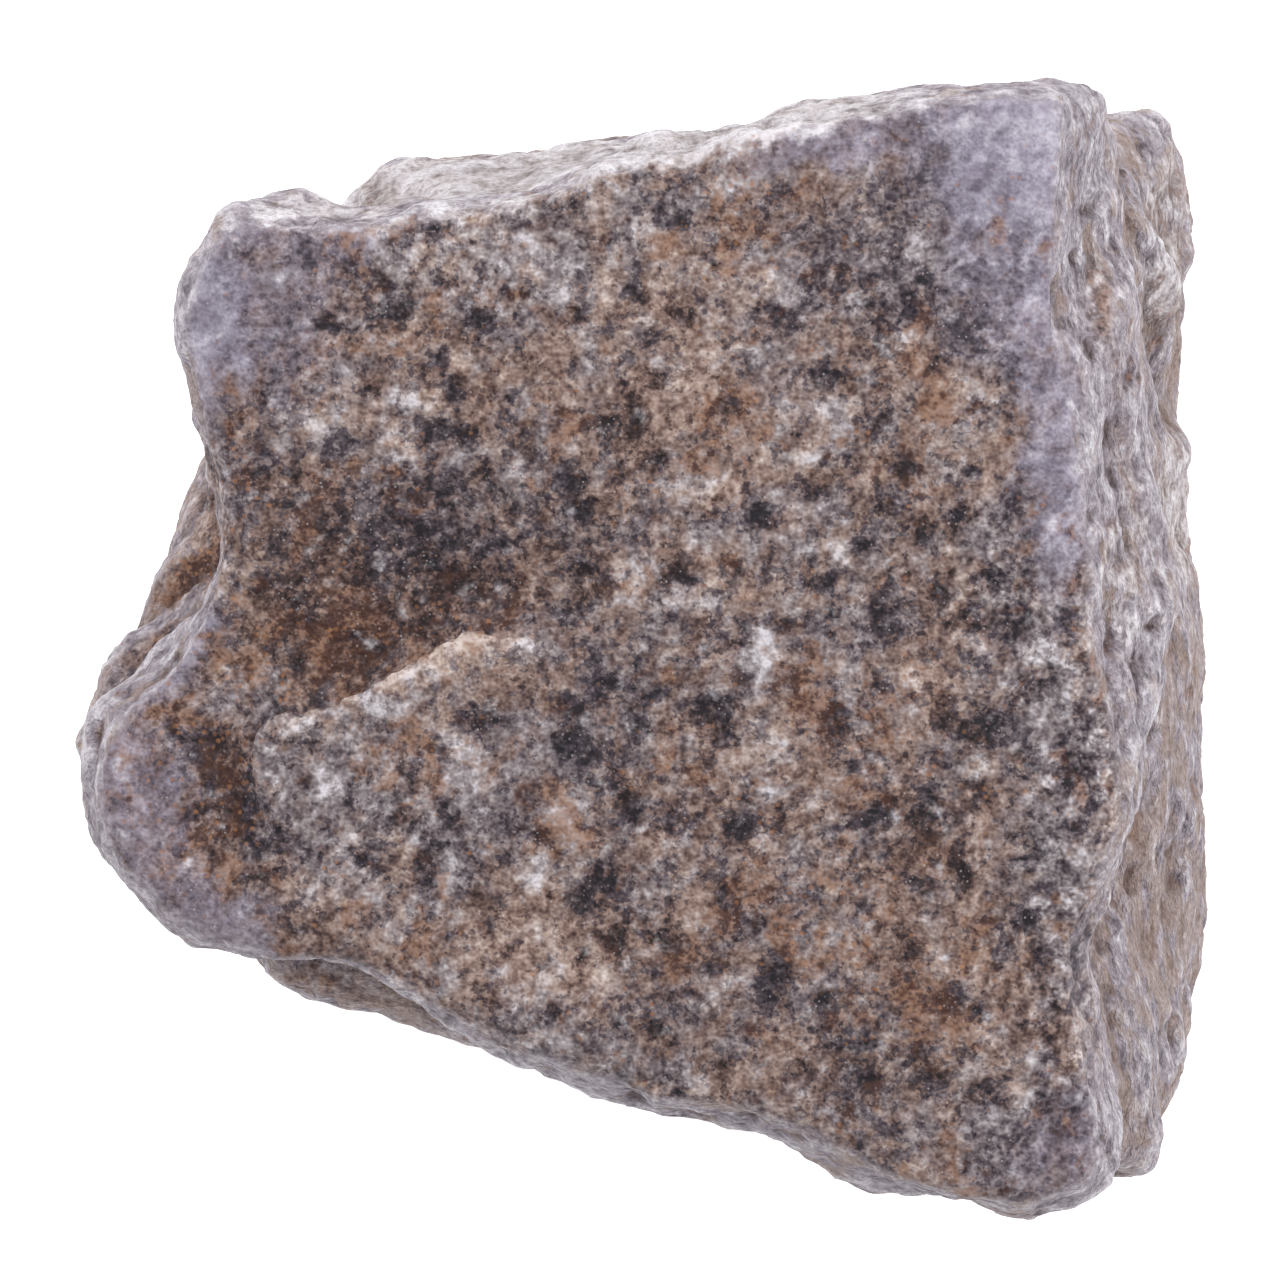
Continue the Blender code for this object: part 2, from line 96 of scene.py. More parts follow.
def srgb(red: int, green: int, blue: int) -> tuple[float, float, float, float]:
    """Turn a colour on the usual 0 to 255 scale into linear light.

    Args:
        red: The red share.
        green: The green share.
        blue: The blue share.

    Returns:
        The linear colour with full alpha.
    """
    shares = [value / 255.0 for value in (red, green, blue)]
    linear = [s / 12.92 if s <= 0.04045 else ((s + 0.055) / 1.055) ** 2.4 for s in shares]
    return (linear[0], linear[1], linear[2], 1.0)


def smoothstep(low: float, high: float, value: np.ndarray) -> np.ndarray:
    """Rise smoothly from 0 at low to 1 at high.

    Args:
        low: Where the rise starts.
        high: Where it ends; it may be below low, for a fall.
        value: The values to read it at.

    Returns:
        The smooth share at each value.
    """
    share = np.clip((value - low) / (high - low), 0.0, 1.0)
    return share * share * (3.0 - 2.0 * share)


class Grain:
    """Seeded gradient noise over points in space, about -1 to 1."""

    def __init__(self, seed: int) -> None:
        """Draw the noise's gradients.

        Args:
            seed: The number that fixes them.
        """
        draw = np.random.default_rng(seed)
        self.order = draw.permutation(256)
        gradients = draw.normal(size=(256, 3))
        self.gradients = gradients / np.linalg.norm(gradients, axis=1)[:, None]

    def at(self, points: np.ndarray, width: float, shift: float = 0.0) -> np.ndarray:
        """Read the noise.

        Args:
            points: Rows of X, Y and Z.
            width: The size of one cell of the noise.
            shift: Moves the noise along, so that two readings differ.

        Returns:
            One value for each point.
        """
        cells = points / width + shift
        corner = np.floor(cells).astype(np.int64)
        inside = cells - corner
        fade = inside**3 * (inside * (inside * 6.0 - 15.0) + 10.0)
        total = np.zeros(len(points))
        for step in np.ndindex(2, 2, 2):
            index = corner + step
            key = self.order[index[:, 0] & 255]
            key = self.order[(key + index[:, 1]) & 255]
            key = self.order[(key + index[:, 2]) & 255]
            reach = np.einsum("ij,ij->i", self.gradients[key], inside - step)
            weight = np.prod(np.where(np.array(step) == 1, fade, 1.0 - fade), axis=1)
            total += weight * reach
        return total * 1.7

    def octaves(
        self, points: np.ndarray, width: float, count: int, gain: float, shift: float = 0.0
    ) -> np.ndarray:
        """Add up ever finer readings of the noise.

        Args:
            points: Rows of X, Y and Z.
            width: The widest cell.
            count: How many readings to add, each half as wide as the last.
            gain: How strong each reading is beside the one before.
            shift: Moves the noise along.

        Returns:
            One value for each point, about -1 to 1.
        """
        total = np.zeros(len(points))
        strength, whole = 1.0, 0.0
        for octave in range(count):
            total += strength * self.at(points, width / 2**octave, shift + 3.7 * octave)
            whole += strength
            strength *= gain
        return total / whole


@dataclass(frozen=True)
class Route:
    """A crooked line over the stone, as places in the picture."""

    places: tuple[tuple[int, int], ...]
    height: float = 34.0

    def gap(self, points: np.ndarray) -> tuple[np.ndarray, np.ndarray]:
        """Measure how far points lie from the route.

        Args:
            points: Rows of plan X, Y and Z.

        Returns:
            The signed distance, above zero to the left of the way that the route runs, and how
            far along the route the nearest place is, from 0 to 1.
        """
        line = np.array([VIEW.plan(*place, self.height) for place in self.places])
        nearest = np.full(len(points), np.inf)
        signed = np.zeros(len(points))
        along = np.zeros(len(points))
        for index, (start, end) in enumerate(zip(line, line[1:])):
            run = end - start
            reach = points[:, :2] - start
            share = np.clip(reach @ run / (run @ run), 0.0, 1.0)
            off = reach - share[:, None] * run
            distance = np.hypot(off[:, 0], off[:, 1])
            side = np.where(run[0] * off[:, 1] - run[1] * off[:, 0] > 0.0, 1.0, -1.0)
            closer = distance < nearest
            nearest = np.where(closer, distance, nearest)
            signed = np.where(closer, distance * side, signed)
            along = np.where(closer, (index + share) / (len(line) - 1), along)
        return signed, along


class Stain(Enum):
    """What a mark on the face is made of; the pale and dark shares also hold the painted highlight and
    painted shade of the step across the face.
    """

    RUST = "rust"
    DARK = "dark"
    GREY = "grey"
    PALE = "pale"
    MARGIN = "margin"
    # Pale crust, with painted glare on the top slope and the right side.
    BLEACH_AND_GLARE = "bleach_and_glare"
    OVERRUN = "overrun"


@dataclass(frozen=True)
class Mark:
    """One soft-edged mark on the face: its place in the picture and its size in millimetres."""

    stain: Stain
    across: int
    down: int
    long: float
    wide: float
    turn: float = 0.0
    strength: float = 1.0
    height: float = 34.0

    def share(self, points: np.ndarray) -> np.ndarray:
        """Return how much of the mark's stain each point of the plan has, 0 to 1.

        Args:
            points: Rows of plan X, Y and Z.

        Returns:
            The mark's share at each point.
        """
        middle = VIEW.plan(self.across, self.down, self.height)
        turn = math.radians(self.turn)
        off_x, off_y = points[:, 0] - middle[0], points[:, 1] - middle[1]
        along = off_x * math.cos(turn) + off_y * math.sin(turn)
        beside = off_y * math.cos(turn) - off_x * math.sin(turn)
        reach = np.hypot(along / (self.long / 2.0), beside / (self.wide / 2.0))
        return self.strength * smoothstep(1.4, 0.3, reach)


FACE_STEP = Route((
    (284, 889), (264, 846), (262, 820), (252, 796), (246, 762), (253, 735), (273, 713), (298, 714),
    (330, 706), (359, 692), (394, 675), (430, 652), (451, 637), (476, 630), (501, 636), (537, 641),
    (566, 656), (600, 680),
))
RIDGE_BREAK = Route((
    (1127, 262), (1128, 300), (1124, 345), (1112, 380), (1104, 420), (1104, 460), (1116, 490),
    (1126, 540), (1140, 590), (1152, 640),
))
OUTER_RIDGE = Route((
    (1112, 99), (1119, 147), (1126, 250), (1136, 352), (1145, 470), (1161, 511), (1173, 572), (1174, 602),
    (1161, 656), (1155, 700), (1138, 750), (1133, 807), (1115, 882), (1094, 944), (1093, 981),
    (1108, 1040), (1122, 1120), (1127, 1160),
), height=29.5)


@dataclass(frozen=True)
class Swell:
    """A soft bump, or a dent below zero, in the skin: its place in the picture, height, size and rise."""

    across: int
    down: int
    height: float
    size: float
    rise: float

    def at(self, points: np.ndarray) -> np.ndarray:
        """Return how far the bump lifts each point.

        Args:
            points: Rows of plan X, Y and Z.

        Returns:
            The move along the normal.
        """
        middle = np.array([*VIEW.plan(self.across, self.down, self.height), self.height])
        return self.rise * np.exp(-(((points - middle) / self.size) ** 2).sum(axis=1))


SWELLS = (
    Swell(243, 205, 32.5, 1.5, 0.5),
    Swell(268, 190, 31.5, 1.2, -0.25),
    Swell(1152, 262, 22.5, 1.5, 0.6),
    Swell(1163, 288, 21.9, 1.3, 0.4),
    Swell(1180, 345, 20.4, 1.4, 0.4),
)


@dataclass
class StoneSkin:
    """The fine skin of the stone: an even mesh over the plain solid, with the facets smoothed out."""

    voxel: float = 0.38
    smoothing_rounds: int = 8
    weld: float = 0.002

    def mesh(self, node: bpy.types.Object) -> bpy.types.Mesh:
        """Make the fine mesh.

        Args:
            node: The plain solid's object.

        Returns:
            The even, smooth mesh, in metres.
        """
        plain = node.data.copy()
        work = bmesh.new()
        work.from_mesh(plain)
        bmesh.ops.remove_doubles(work, verts=list(work.verts), dist=self.weld * MM)
        work.to_mesh(plain)
        work.free()
        holder = bpy.data.objects.new("skin", plain)
        bpy.context.scene.collection.objects.link(holder)
        remesh = holder.modifiers.new("even", "REMESH")
        remesh.mode = "VOXEL"
        remesh.voxel_size = self.voxel * MM
        smooth = holder.modifiers.new("smooth", "SMOOTH")
        smooth.factor = 0.5
        smooth.iterations = self.smoothing_rounds
        evaluated = holder.evaluated_get(bpy.context.evaluated_depsgraph_get())
        mesh = bpy.data.meshes.new_from_object(evaluated)
        bpy.data.objects.remove(holder, do_unlink=True)
        return mesh


@dataclass
class Relief:
    """The small shapes of the surface, up to about half a millimetre high."""

    seed: int = 11
    layer_heights: tuple[float, float] = (0.26, 0.13)
    layer_widths: tuple[float, float] = (2.1, 0.95)
    layer_bends: tuple[float, float] = (7.0, 2.2)
    broken_edge: float = 3.4
    flank_heights: tuple[float, float, float] = (0.15, 0.13, 0.09)
    flank_widths: tuple[float, float, float] = (2.6, 1.3, 0.7)
    face_heights: tuple[float, float, float] = (0.14, 0.09, 0.055)
    face_widths: tuple[float, float, float] = (4.2, 1.9, 0.85)
    nick_height: float = 0.30
    nick_width: float = 1.7
    pale_rise: float = 0.05
    dark_drop: float = 0.10
    step_height: float = 0.24
    step_foot: float = 0.45
    step_head: float = 0.60
    ridge_drop: float = 0.14
    ridge_lip: float = 0.12
    outer_lip: float = 0.22
    outer_drop: float = 0.22
    sole_fade: float = 1.6

    def layers(self, points: np.ndarray, grain: Grain) -> np.ndarray:
        """Return how far the broken edges of the thin layers stand out.

        Args:
            points: Rows of plan X, Y and Z.
            grain: The noise to break them up with.

        Returns:
            The height at each point.
        """
        depth = points @ LAYERS_FACE
        wide, narrow = self.layer_bends
        total = np.zeros(len(points))
        for height, width in zip(self.layer_heights, self.layer_widths):
            wander = grain.at(points, wide, width) + 0.35 * grain.at(points, narrow, width)
            count = depth / width + 1.1 * wander
            layer = np.floor(count)
            within = count - layer
            spread = np.column_stack([points[:, :2] / self.broken_edge, layer * 5.3])
            above = np.column_stack([points[:, :2] / self.broken_edge, (layer + 1.0) * 5.3])
            low, high = grain.at(spread, 1.0, width), grain.at(above, 1.0, width)
            shape = low + (high - low) * smoothstep(0.66, 1.0, within)
            parting = np.exp(-(((within - 0.82) / 0.16) ** 2))
            total += height * (1.5 * shape - 0.5 * parting)
        return total

    def heights(
        self, points: np.ndarray, facing: np.ndarray, marks: dict[Stain, np.ndarray]
    ) -> np.ndarray:
        """Return how far each point of the skin moves outward.

        Args:
            points: Rows of plan X, Y and Z.
            facing: The skin's normals there.
            marks: The share of each stain there.

        Returns:
            The move along the normal.
        """
        grain = Grain(self.seed)
        upright = np.abs(facing @ LAYERS_FACE)
        flank = smoothstep(0.90, 0.55, upright)
        on_top = smoothstep(0.2, 0.7, facing[:, 2])
        rough = sum(h * grain.at(points, w) for h, w in zip(self.flank_heights, self.flank_widths))
        fine = sum(h * grain.at(points, w, 9.0) for h, w in zip(self.face_heights, self.face_widths))
        layered = smoothstep(-0.35, 0.25, grain.at(points, 9.0, 2.0))
        rise = flank * (rough + (0.3 + 0.7 * layered) * self.layers(points, grain))
        rise += (1.0 - flank) * fine * (1.0 - 0.7 * marks[Stain.MARGIN] * on_top)
        rise += on_top * (self.pale_rise * marks[Stain.PALE] - self.dark_drop * marks[Stain.DARK])
        rise += on_top * self.step(points)
        rise += self.ridge(points, facing) + self.outer_ridge(points)
        rise += sum(swell.at(points) for swell in SWELLS)
        nicks = smoothstep(0.25, 0.75, grain.at(points, self.nick_width, 4.0))
        rise -= self.nick_height * nicks * flank * smoothstep(0.2, 0.6, upright)
        height = points[:, 2] - PLAN_SHIFT[2]
        sole = smoothstep(self.sole_fade, 0.1, height) * smoothstep(-0.3, -0.9, facing[:, 2])
        return rise * (1.0 - sole)

    def step(self, points: np.ndarray) -> np.ndarray:
        """Return the crisp edge of the step across the face.

        Args:
            points: Rows of plan X, Y and Z.

        Returns:
            The move along the normal.
        """
        gap, along = FACE_STEP.gap(points)
        strength = smoothstep(0.05, 0.45, along) * smoothstep(1.0, 0.84, along)
        sunken = -np.exp(-np.maximum(gap, 0.0) / self.step_foot)
        proud = np.exp(-np.maximum(-gap, 0.0) / self.step_head)
        return self.step_height * strength * np.where(gap > 0.0, sunken, proud)

    def ridge(self, points: np.ndarray, facing: np.ndarray) -> np.ndarray:
        """Return the broken inner line of the right ridge, outside of which the edge drops.

        Args:
            points: Rows of plan X, Y and Z.
            facing: The skin's normals there.

        Returns:
            The move along the normal.
        """
        gap, along = RIDGE_BREAK.gap(points)
        strength = smoothstep(0.0, 0.2, along) * smoothstep(1.0, 0.8, along)
        strength *= smoothstep(0.1, 0.4, facing[:, 2])
        outer = -self.ridge_drop * smoothstep(0.0, 0.25, gap) * np.exp(-np.maximum(gap, 0.0) / 1.6)
        inner = self.ridge_lip * np.exp(-np.maximum(-gap, 0.0) / 0.5)
        return strength * np.where(gap > 0.0, outer, inner)

    def outer_ridge(self, points: np.ndarray) -> np.ndarray:
        """Return the lip along the ridge on the right and the drop behind it.

        Args:
            points: Rows of plan X, Y and Z.

        Returns:
            The move along the normal.
        """
        gap, along = OUTER_RIDGE.gap(points)
        strength = smoothstep(0.0, 0.05, along) * smoothstep(1.0, 0.95, along)
        strength *= smoothstep(20.0, 25.0, points[:, 2])
        lip = self.outer_lip * np.exp(-(((gap + 0.15) / 0.45) ** 2))
        drop = self.outer_drop * np.exp(-(((gap - 0.95) / 0.7) ** 2))
        return strength * (lip - drop)


def broad(stain: Stain, *places: tuple[float, ...]) -> tuple[Mark, ...]:
    """Lay broad marks of one stain, each given as Mark's own numbers in their order."""
    return tuple(Mark(stain, *place) for place in places)


def scattered(stain: Stain, strength: float, *places: tuple[float, ...]) -> tuple[Mark, ...]:
    """Scatter small marks of one stain over the face.

    Args:
        stain: What they are made of.
        strength: How strong each one is.
        places: Each mark's across, down, long and wide, and its turn where it has one.

    Returns:
        The marks.
    """
    marks = []
    for across, down, long, wide, *turn in places:
        marks.append(Mark(stain, across, down, long, wide, *turn, strength=strength))
    return tuple(marks)


# The smooth, dull margins round the face.
MARGINS = broad(
    Stain.MARGIN,
    (178, 310, 15, 9.6, 84, 1.15), (240, 222, 9, 5, 10, 1), (112, 790, 16, 7.6, -66, 0.78),
    (165, 660, 8, 3.4, 50, 0.9), (190, 915, 13, 5, -28, 0.8), (1010, 165, 10, 9.5, 0, 1.5),
    (1005, 260, 8, 12, 0, 0.78), (880, 132, 18, 4.2, 9, 0.9), (1046, 330, 20, 4.6, 88, 0.85),
    (1060, 450, 18, 4.4, 89, 0.95), (965, 330, 5, 4, 0, 0.5), (1080, 1150, 9, 6, 30, 0.7),
    (320, 245, 8, 4.6, 8, 0.62), (285, 315, 6.5, 9, 0, 0.66),
)
# Where the face's colours run over the left and the right rim.
OVERRUNS = broad(
    Stain.OVERRUN,
    (222, 500, 11, 6, 82, 1.2, 31), (235, 570, 5, 3, 60, 1, 31), (1085, 985, 13, 3.2, 86, 0.75, 31),
    (1100, 800, 9, 2.4, 84, 0.5, 31),
)
# The pale crust of the slope along the top and, more faintly, of the right side: pale stone and painted
# glare.
CRUST_AND_GLARE = broad(
    Stain.BLEACH_AND_GLARE,
    (330, 208, 9, 2.4, 12, 0.8, 30), (420, 176, 11, 3.6, 7, 1.1, 26), (540, 160, 12, 3.6, 9, 1.2, 26),
    (670, 144, 14, 3.4, 9, 1.25, 30), (800, 118, 14, 2.8, 8, 0.9, 32), (470, 205, 14, 1.8, 6, 0.45),
    (1162, 240, 11, 3.2, 88, 0.55, 20), (1182, 500, 10, 3, 88, 0.72, 15),
    (1128, 570, 11, 3.4, 86, 0.38, 28), (1088, 290, 16, 3, 88, 0.26, 33),
)
# Broad dark ground.
DARK_GROUND = broad(
    Stain.DARK,
    (400, 545, 22, 8.4, -14, 1.2), (300, 620, 12, 5.4, -8, 0.85), (215, 790, 12, 3.4, -66, 0.65),
    (285, 330, 8, 4, 80, 0.6), (265, 500, 8, 4, 80, 0.5), (930, 200, 7, 5, 30, 0.5),
    (320, 280, 11, 7.5, -12, 0.5), (890, 290, 10, 6.5, -10, 0.4), (860, 1060, 10, 4.5, -30, 0.35),
    (330, 955, 14, 3, -24, 0.35), (1000, 1130, 9, 4, 10, 0.3), (420, 630, 12, 3, 18, 1.1),
    # (186, 570) darkens the groove on the left: painted shade.
    (186, 570, 5, 1.2, 41, 1), (1000, 320, 10, 6, 88, 0.35),
)
# Broad rusty ground.
RUST_GROUND = broad(
    Stain.RUST,
    # (180, 568) is a rusty line along the same groove: rust colour and painted shade.
    (330, 640, 16, 4.6, 6, 0.85), (180, 568, 5.6, 2.2, 41, 2.3), (200, 785, 14, 6.4, -62, 0.9),
    (140, 790, 12, 4.4, -66, 0.8), (250, 500, 5, 9, 0, 0.5), (745, 215, 6, 7, 0, 0.6),
    (850, 700, 9, 5.5, -8, 0.6), (850, 950, 13, 9, -40, 0.8), (960, 1000, 8, 8, 0, 0.5),
    (690, 800, 8, 5, 10, 0.4),
)
# Greyer ground.
GREY_GROUND = broad(
    Stain.GREY,
    (370, 820, 14, 9.5, -20, 0.70), (900, 280, 11, 8, 0, 0.7), (1045, 655, 14, 5, 88, 0.8),
    (1035, 1130, 9, 6, 10, 0.8), (1085, 780, 11, 6, 86, 1.1), (1060, 950, 16, 6, 86, 0.9),
    (1010, 700, 10, 6, 80, 0.5), (560, 1050, 19, 4.5, -23, 0.5), (490, 270, 14, 8, 6, 0.6),
    (860, 560, 12, 8, -20, 0.35), (1000, 570, 10, 8, 88, 0.8), (1000, 310, 12, 8, 88, 0.8),
)
# Paler ground.
PALE_GROUND = broad(
    Stain.PALE,
    (480, 275, 11, 6, 0, 0.72), (650, 300, 11, 9, 0, 0.32), (500, 945, 13, 5, -20, 0.40),
    (620, 1050, 10, 3, -18, 0.10), (300, 300, 5, 7, 0, 0.25), (350, 790, 10, 7, -30, 0.08),
    (480, 655, 9, 2.4, 6, 0.5), (970, 440, 4, 6, 0, 0.4),
)
# Small marks on the face.
CLOTS = scattered(
    Stain.DARK, 1.7,
    (405, 240, 1.6, 1.2), (437, 232, 1.7, 1.1), (440, 285, 1.5, 1.2), (385, 292, 1.3, 1),
    (397, 315, 1.8, 1.4, -30), (468, 322, 1.5, 1.8), (489, 325, 0.9, 1.5), (433, 363, 2.2, 1.6),
    (456, 390, 1.5, 1.6), (370, 390, 1.4, 1.3), (340, 446, 2.2, 1.7), (375, 441, 1.2, 0.8),
    (440, 432, 2.4, 1.3), (467, 436, 1.5, 1.4), (410, 417, 1.2, 1.2), (447, 488, 2.6, 1.1, 20),
    (528, 460, 1.2, 1.4), (571, 480, 1.6, 2), (577, 506, 2.4, 1.4), (611, 430, 1.2, 1.4),
    (637, 425, 1.5, 2.4), (655, 462, 1.2, 1.6), (653, 341, 1.8, 0.9), (637, 297, 1.2, 2),
    (575, 320, 1.5, 1), (525, 300, 1.2, 1.8), (490, 545, 2.4, 1.2), (452, 542, 3, 1.4, -20),
    (280, 550, 2, 1.4), (365, 572, 2.2, 1.6), (480, 592, 1.8, 1.2), (327, 325, 2.6, 1.3),
    (342, 265, 1.3, 2), (608, 237, 1.5, 1.1), (585, 567, 1.2, 1.1), (680, 225, 1.5, 1.1),
    (680, 312, 1.8, 2.6), (657, 385, 1.3, 1.5), (775, 318, 2.6, 1.1, -15), (882, 330, 1.4, 1.6),
    (927, 275, 1.7, 1.2), (967, 327, 2.4, 2), (930, 370, 1.3, 1.1), (823, 377, 2.4, 1.4),
    (880, 420, 1, 1.1), (732, 408, 1.8, 1), (905, 470, 1.4, 1.9), (851, 465, 1.2, 1.4),
    (810, 490, 2, 1.4), (760, 520, 1.7, 1.7), (925, 530, 1, 1.5), (956, 517, 0.9, 2),
    (1003, 425, 1, 1.8), (970, 475, 1.5, 1), (862, 545, 1.4, 1), (296, 667, 1.3, 1.7),
    (382, 642, 3.2, 1.6, 20), (432, 620, 2, 1), (482, 722, 2.6, 2), (577, 708, 3.2, 1.5),
    (574, 757, 3, 3.4), (613, 790, 3.4, 1.7, -10), (630, 812, 1.6, 1.2), (672, 817, 3.2, 2.2, 12),
    (606, 882, 2.2, 2.4), (661, 690, 2.4, 0.9, 15), (600, 682, 2.2, 1), (541, 840, 1.1, 1.1),
    (443, 812, 1.4, 1.7), (396, 816, 1, 1.1), (367, 867, 2.8, 1, -38), (425, 875, 1, 2.6),
    (376, 912, 1, 1.8, -70), (326, 911, 0.9, 1.1), (361, 926, 1.4, 0.8), (282, 842, 1.8, 1.2),
    (620, 940, 1.1, 2.6), (582, 960, 1, 1.3), (541, 970, 0.8, 0.8), (577, 905, 1.4, 2),
    (551, 1016, 1.1, 1.4), (660, 1030, 0.9, 1.1), (638, 728, 1.5, 1.8), (672, 575, 2, 1.6),
    (726, 572, 1.4, 1.7), (822, 585, 1.7, 1.3), (747, 628, 1.5, 2.2), (779, 622, 1.3, 1.1),
    (746, 672, 1.4, 2), (811, 615, 0.9, 1.3), (830, 617, 0.9, 1.6), (886, 621, 2.1, 2.3),
    (975, 618, 2.8, 1.1, 24), (940, 590, 1.5, 1.6), (1010, 620, 1.7, 2), (986, 580, 1.3, 1.4),
    (981, 665, 1.1, 1.1), (709, 711, 2, 1.4), (726, 737, 1.3, 1.5), (836, 727, 1.3, 3.2),
    (882, 687, 1.5, 1.6), (946, 717, 1.3, 2.2), (982, 731, 2.6, 1.8), (928, 815, 1.8, 3.2),
    (739, 831, 1.6, 1.3), (775, 837, 1.3, 1.3), (872, 816, 3.4, 0.9, 16), (719, 902, 3, 1.2, -50),
    (752, 930, 1.3, 1.3), (671, 937, 1.4, 1.3), (906, 952, 0.9, 2.2), (776, 985, 2.1, 3.4),
    (966, 871, 2.6, 1.1, -65), (990, 925, 0.9, 0.9), (1026, 921, 1.1, 1.5), (716, 971, 0.9, 1.5),
    (953, 1006, 3, 1.6), (830, 1008, 2, 1.4), (985, 1012, 1.4, 1.2), (1068, 770, 1.7, 2.1),
    (1020, 840, 2.2, 1), (1066, 622, 1.6, 1.6), (935, 1088, 2.4, 1.5), (870, 1090, 1.6, 1.6),
    (800, 1075, 1.8, 1.2),
)
PATCHES = scattered(
    Stain.PALE, 1,
    (337, 229, 2, 0.8), (376, 236, 1.4, 1.1), (643, 232, 1.6, 1.6), (462, 270, 1.2, 1.3),
    (466, 360, 1.7, 1), (411, 401, 2.2, 1.1), (526, 472, 1.8, 1.8), (320, 430, 1.6, 1.4),
    (397, 450, 2.4, 2.2), (342, 345, 1.4, 0.9), (601, 292, 1.6, 2.2), (577, 440, 1.6, 1.3),
    (626, 582, 1.8, 2.6), (616, 372, 1.6, 1), (870, 165, 1.6, 1.2), (725, 190, 1.8, 1.3),
    (781, 292, 1.9, 1.4), (742, 352, 2.2, 1.1), (832, 411, 3.2, 1.3), (837, 433, 1.3, 1.8),
    (800, 461, 1.5, 1.2), (711, 481, 1.7, 1.4), (975, 392, 2.6, 0.8, -28), (902, 338, 2.4, 1, -50),
    (1012, 348, 0.8, 0.8), (840, 552, 1.2, 1.6), (681, 488, 2, 1.4), (702, 543, 2.4, 1.3),
    (471, 645, 3, 1.3), (560, 820, 1.2, 1.5), (571, 841, 1.8, 1), (301, 725, 1.3, 0.7),
    (321, 781, 1.9, 2.1), (388, 712, 2.4, 1.6), (531, 872, 2, 3), (601, 990, 2, 2.4),
    (1047, 655, 2.2, 1.2), (1076, 680, 1.3, 1.7), (1036, 715, 1.7, 0.9, -60), (776, 740, 1.9, 1.9),
    (771, 791, 1.7, 1), (760, 846, 1.1, 0.9), (716, 990, 2, 2.6), (692, 931, 2.4, 1),
    (941, 966, 1.7, 1.7), (976, 861, 1.1, 1.1), (981, 771, 1.7, 1), (861, 615, 1.1, 1.1),
    (906, 681, 2.2, 0.9, -15), (702, 601, 2.2, 1.3), (1051, 600, 1.8, 1.6), (560, 1040, 2.4, 1.4, -20),
    (690, 1085, 2.2, 1.2, -20), (461, 765, 2, 3.2, 22), (452, 748, 1.4, 2),
)
BRIGHT = scattered(
    Stain.PALE, 1.7,
    (763, 636, 1.3, 1.5), (760, 655, 2.2, 1.5), (765, 674, 1.1, 1.3), (1053, 660, 1.1, 0.7),
    (560, 817, 1.1, 1.2), (410, 400, 1.2, 0.9), (835, 550, 0.9, 1.1), (770, 838, 1.1, 1),
)
RUSTY = scattered(
    Stain.RUST, 1.1,
    (703, 283, 2.6, 1.3), (767, 436, 2.2, 1.1), (850, 238, 1.8, 1.2), (856, 367, 1, 0.8),
    (861, 436, 1.5, 1.1), (931, 415, 2.6, 1.3), (750, 505, 1.2, 1), (316, 656, 2.8, 2.2),
    (272, 636, 3.2, 1.2), (471, 861, 1.8, 1.4), (411, 801, 1.6, 1.2), (341, 871, 2.2, 1.1),
    (286, 953, 1.3, 0.8), (652, 771, 3.2, 1.5), (861, 731, 4.2, 2.4), (931, 771, 2.6, 2),
    (702, 781, 3.2, 2), (881, 926, 4, 2), (841, 971, 5, 2.8), (791, 941, 2.2, 2.2),
    (751, 801, 1.8, 1.2), (1001, 791, 3.2, 1.2), (1098, 537, 1.2, 1.6), (386, 790, 1.4, 1),
    (240, 470, 2, 3),
)
MARKS = (
    MARGINS + OVERRUNS + CRUST_AND_GLARE + DARK_GROUND
    + RUST_GROUND + GREY_GROUND + PALE_GROUND
    + CLOTS + PATCHES + BRIGHT + RUSTY
)


# A run of colours: each place on it, 0 to 1, with its colour on the 0 to 255 scale.
Colours = tuple[tuple[float, tuple[int, int, int]], ...]


@dataclass(frozen=True)
class Pattern:
    """The recipe of one noise.

    It gives the size of the widest cells, how many finer octaves there are, how strong each octave
    is beside the one before, and a shift, so that two noises differ.
    """

    width: float
    detail: float = 0.0
    roughness: float = 0.5
    shift: float = 0.0


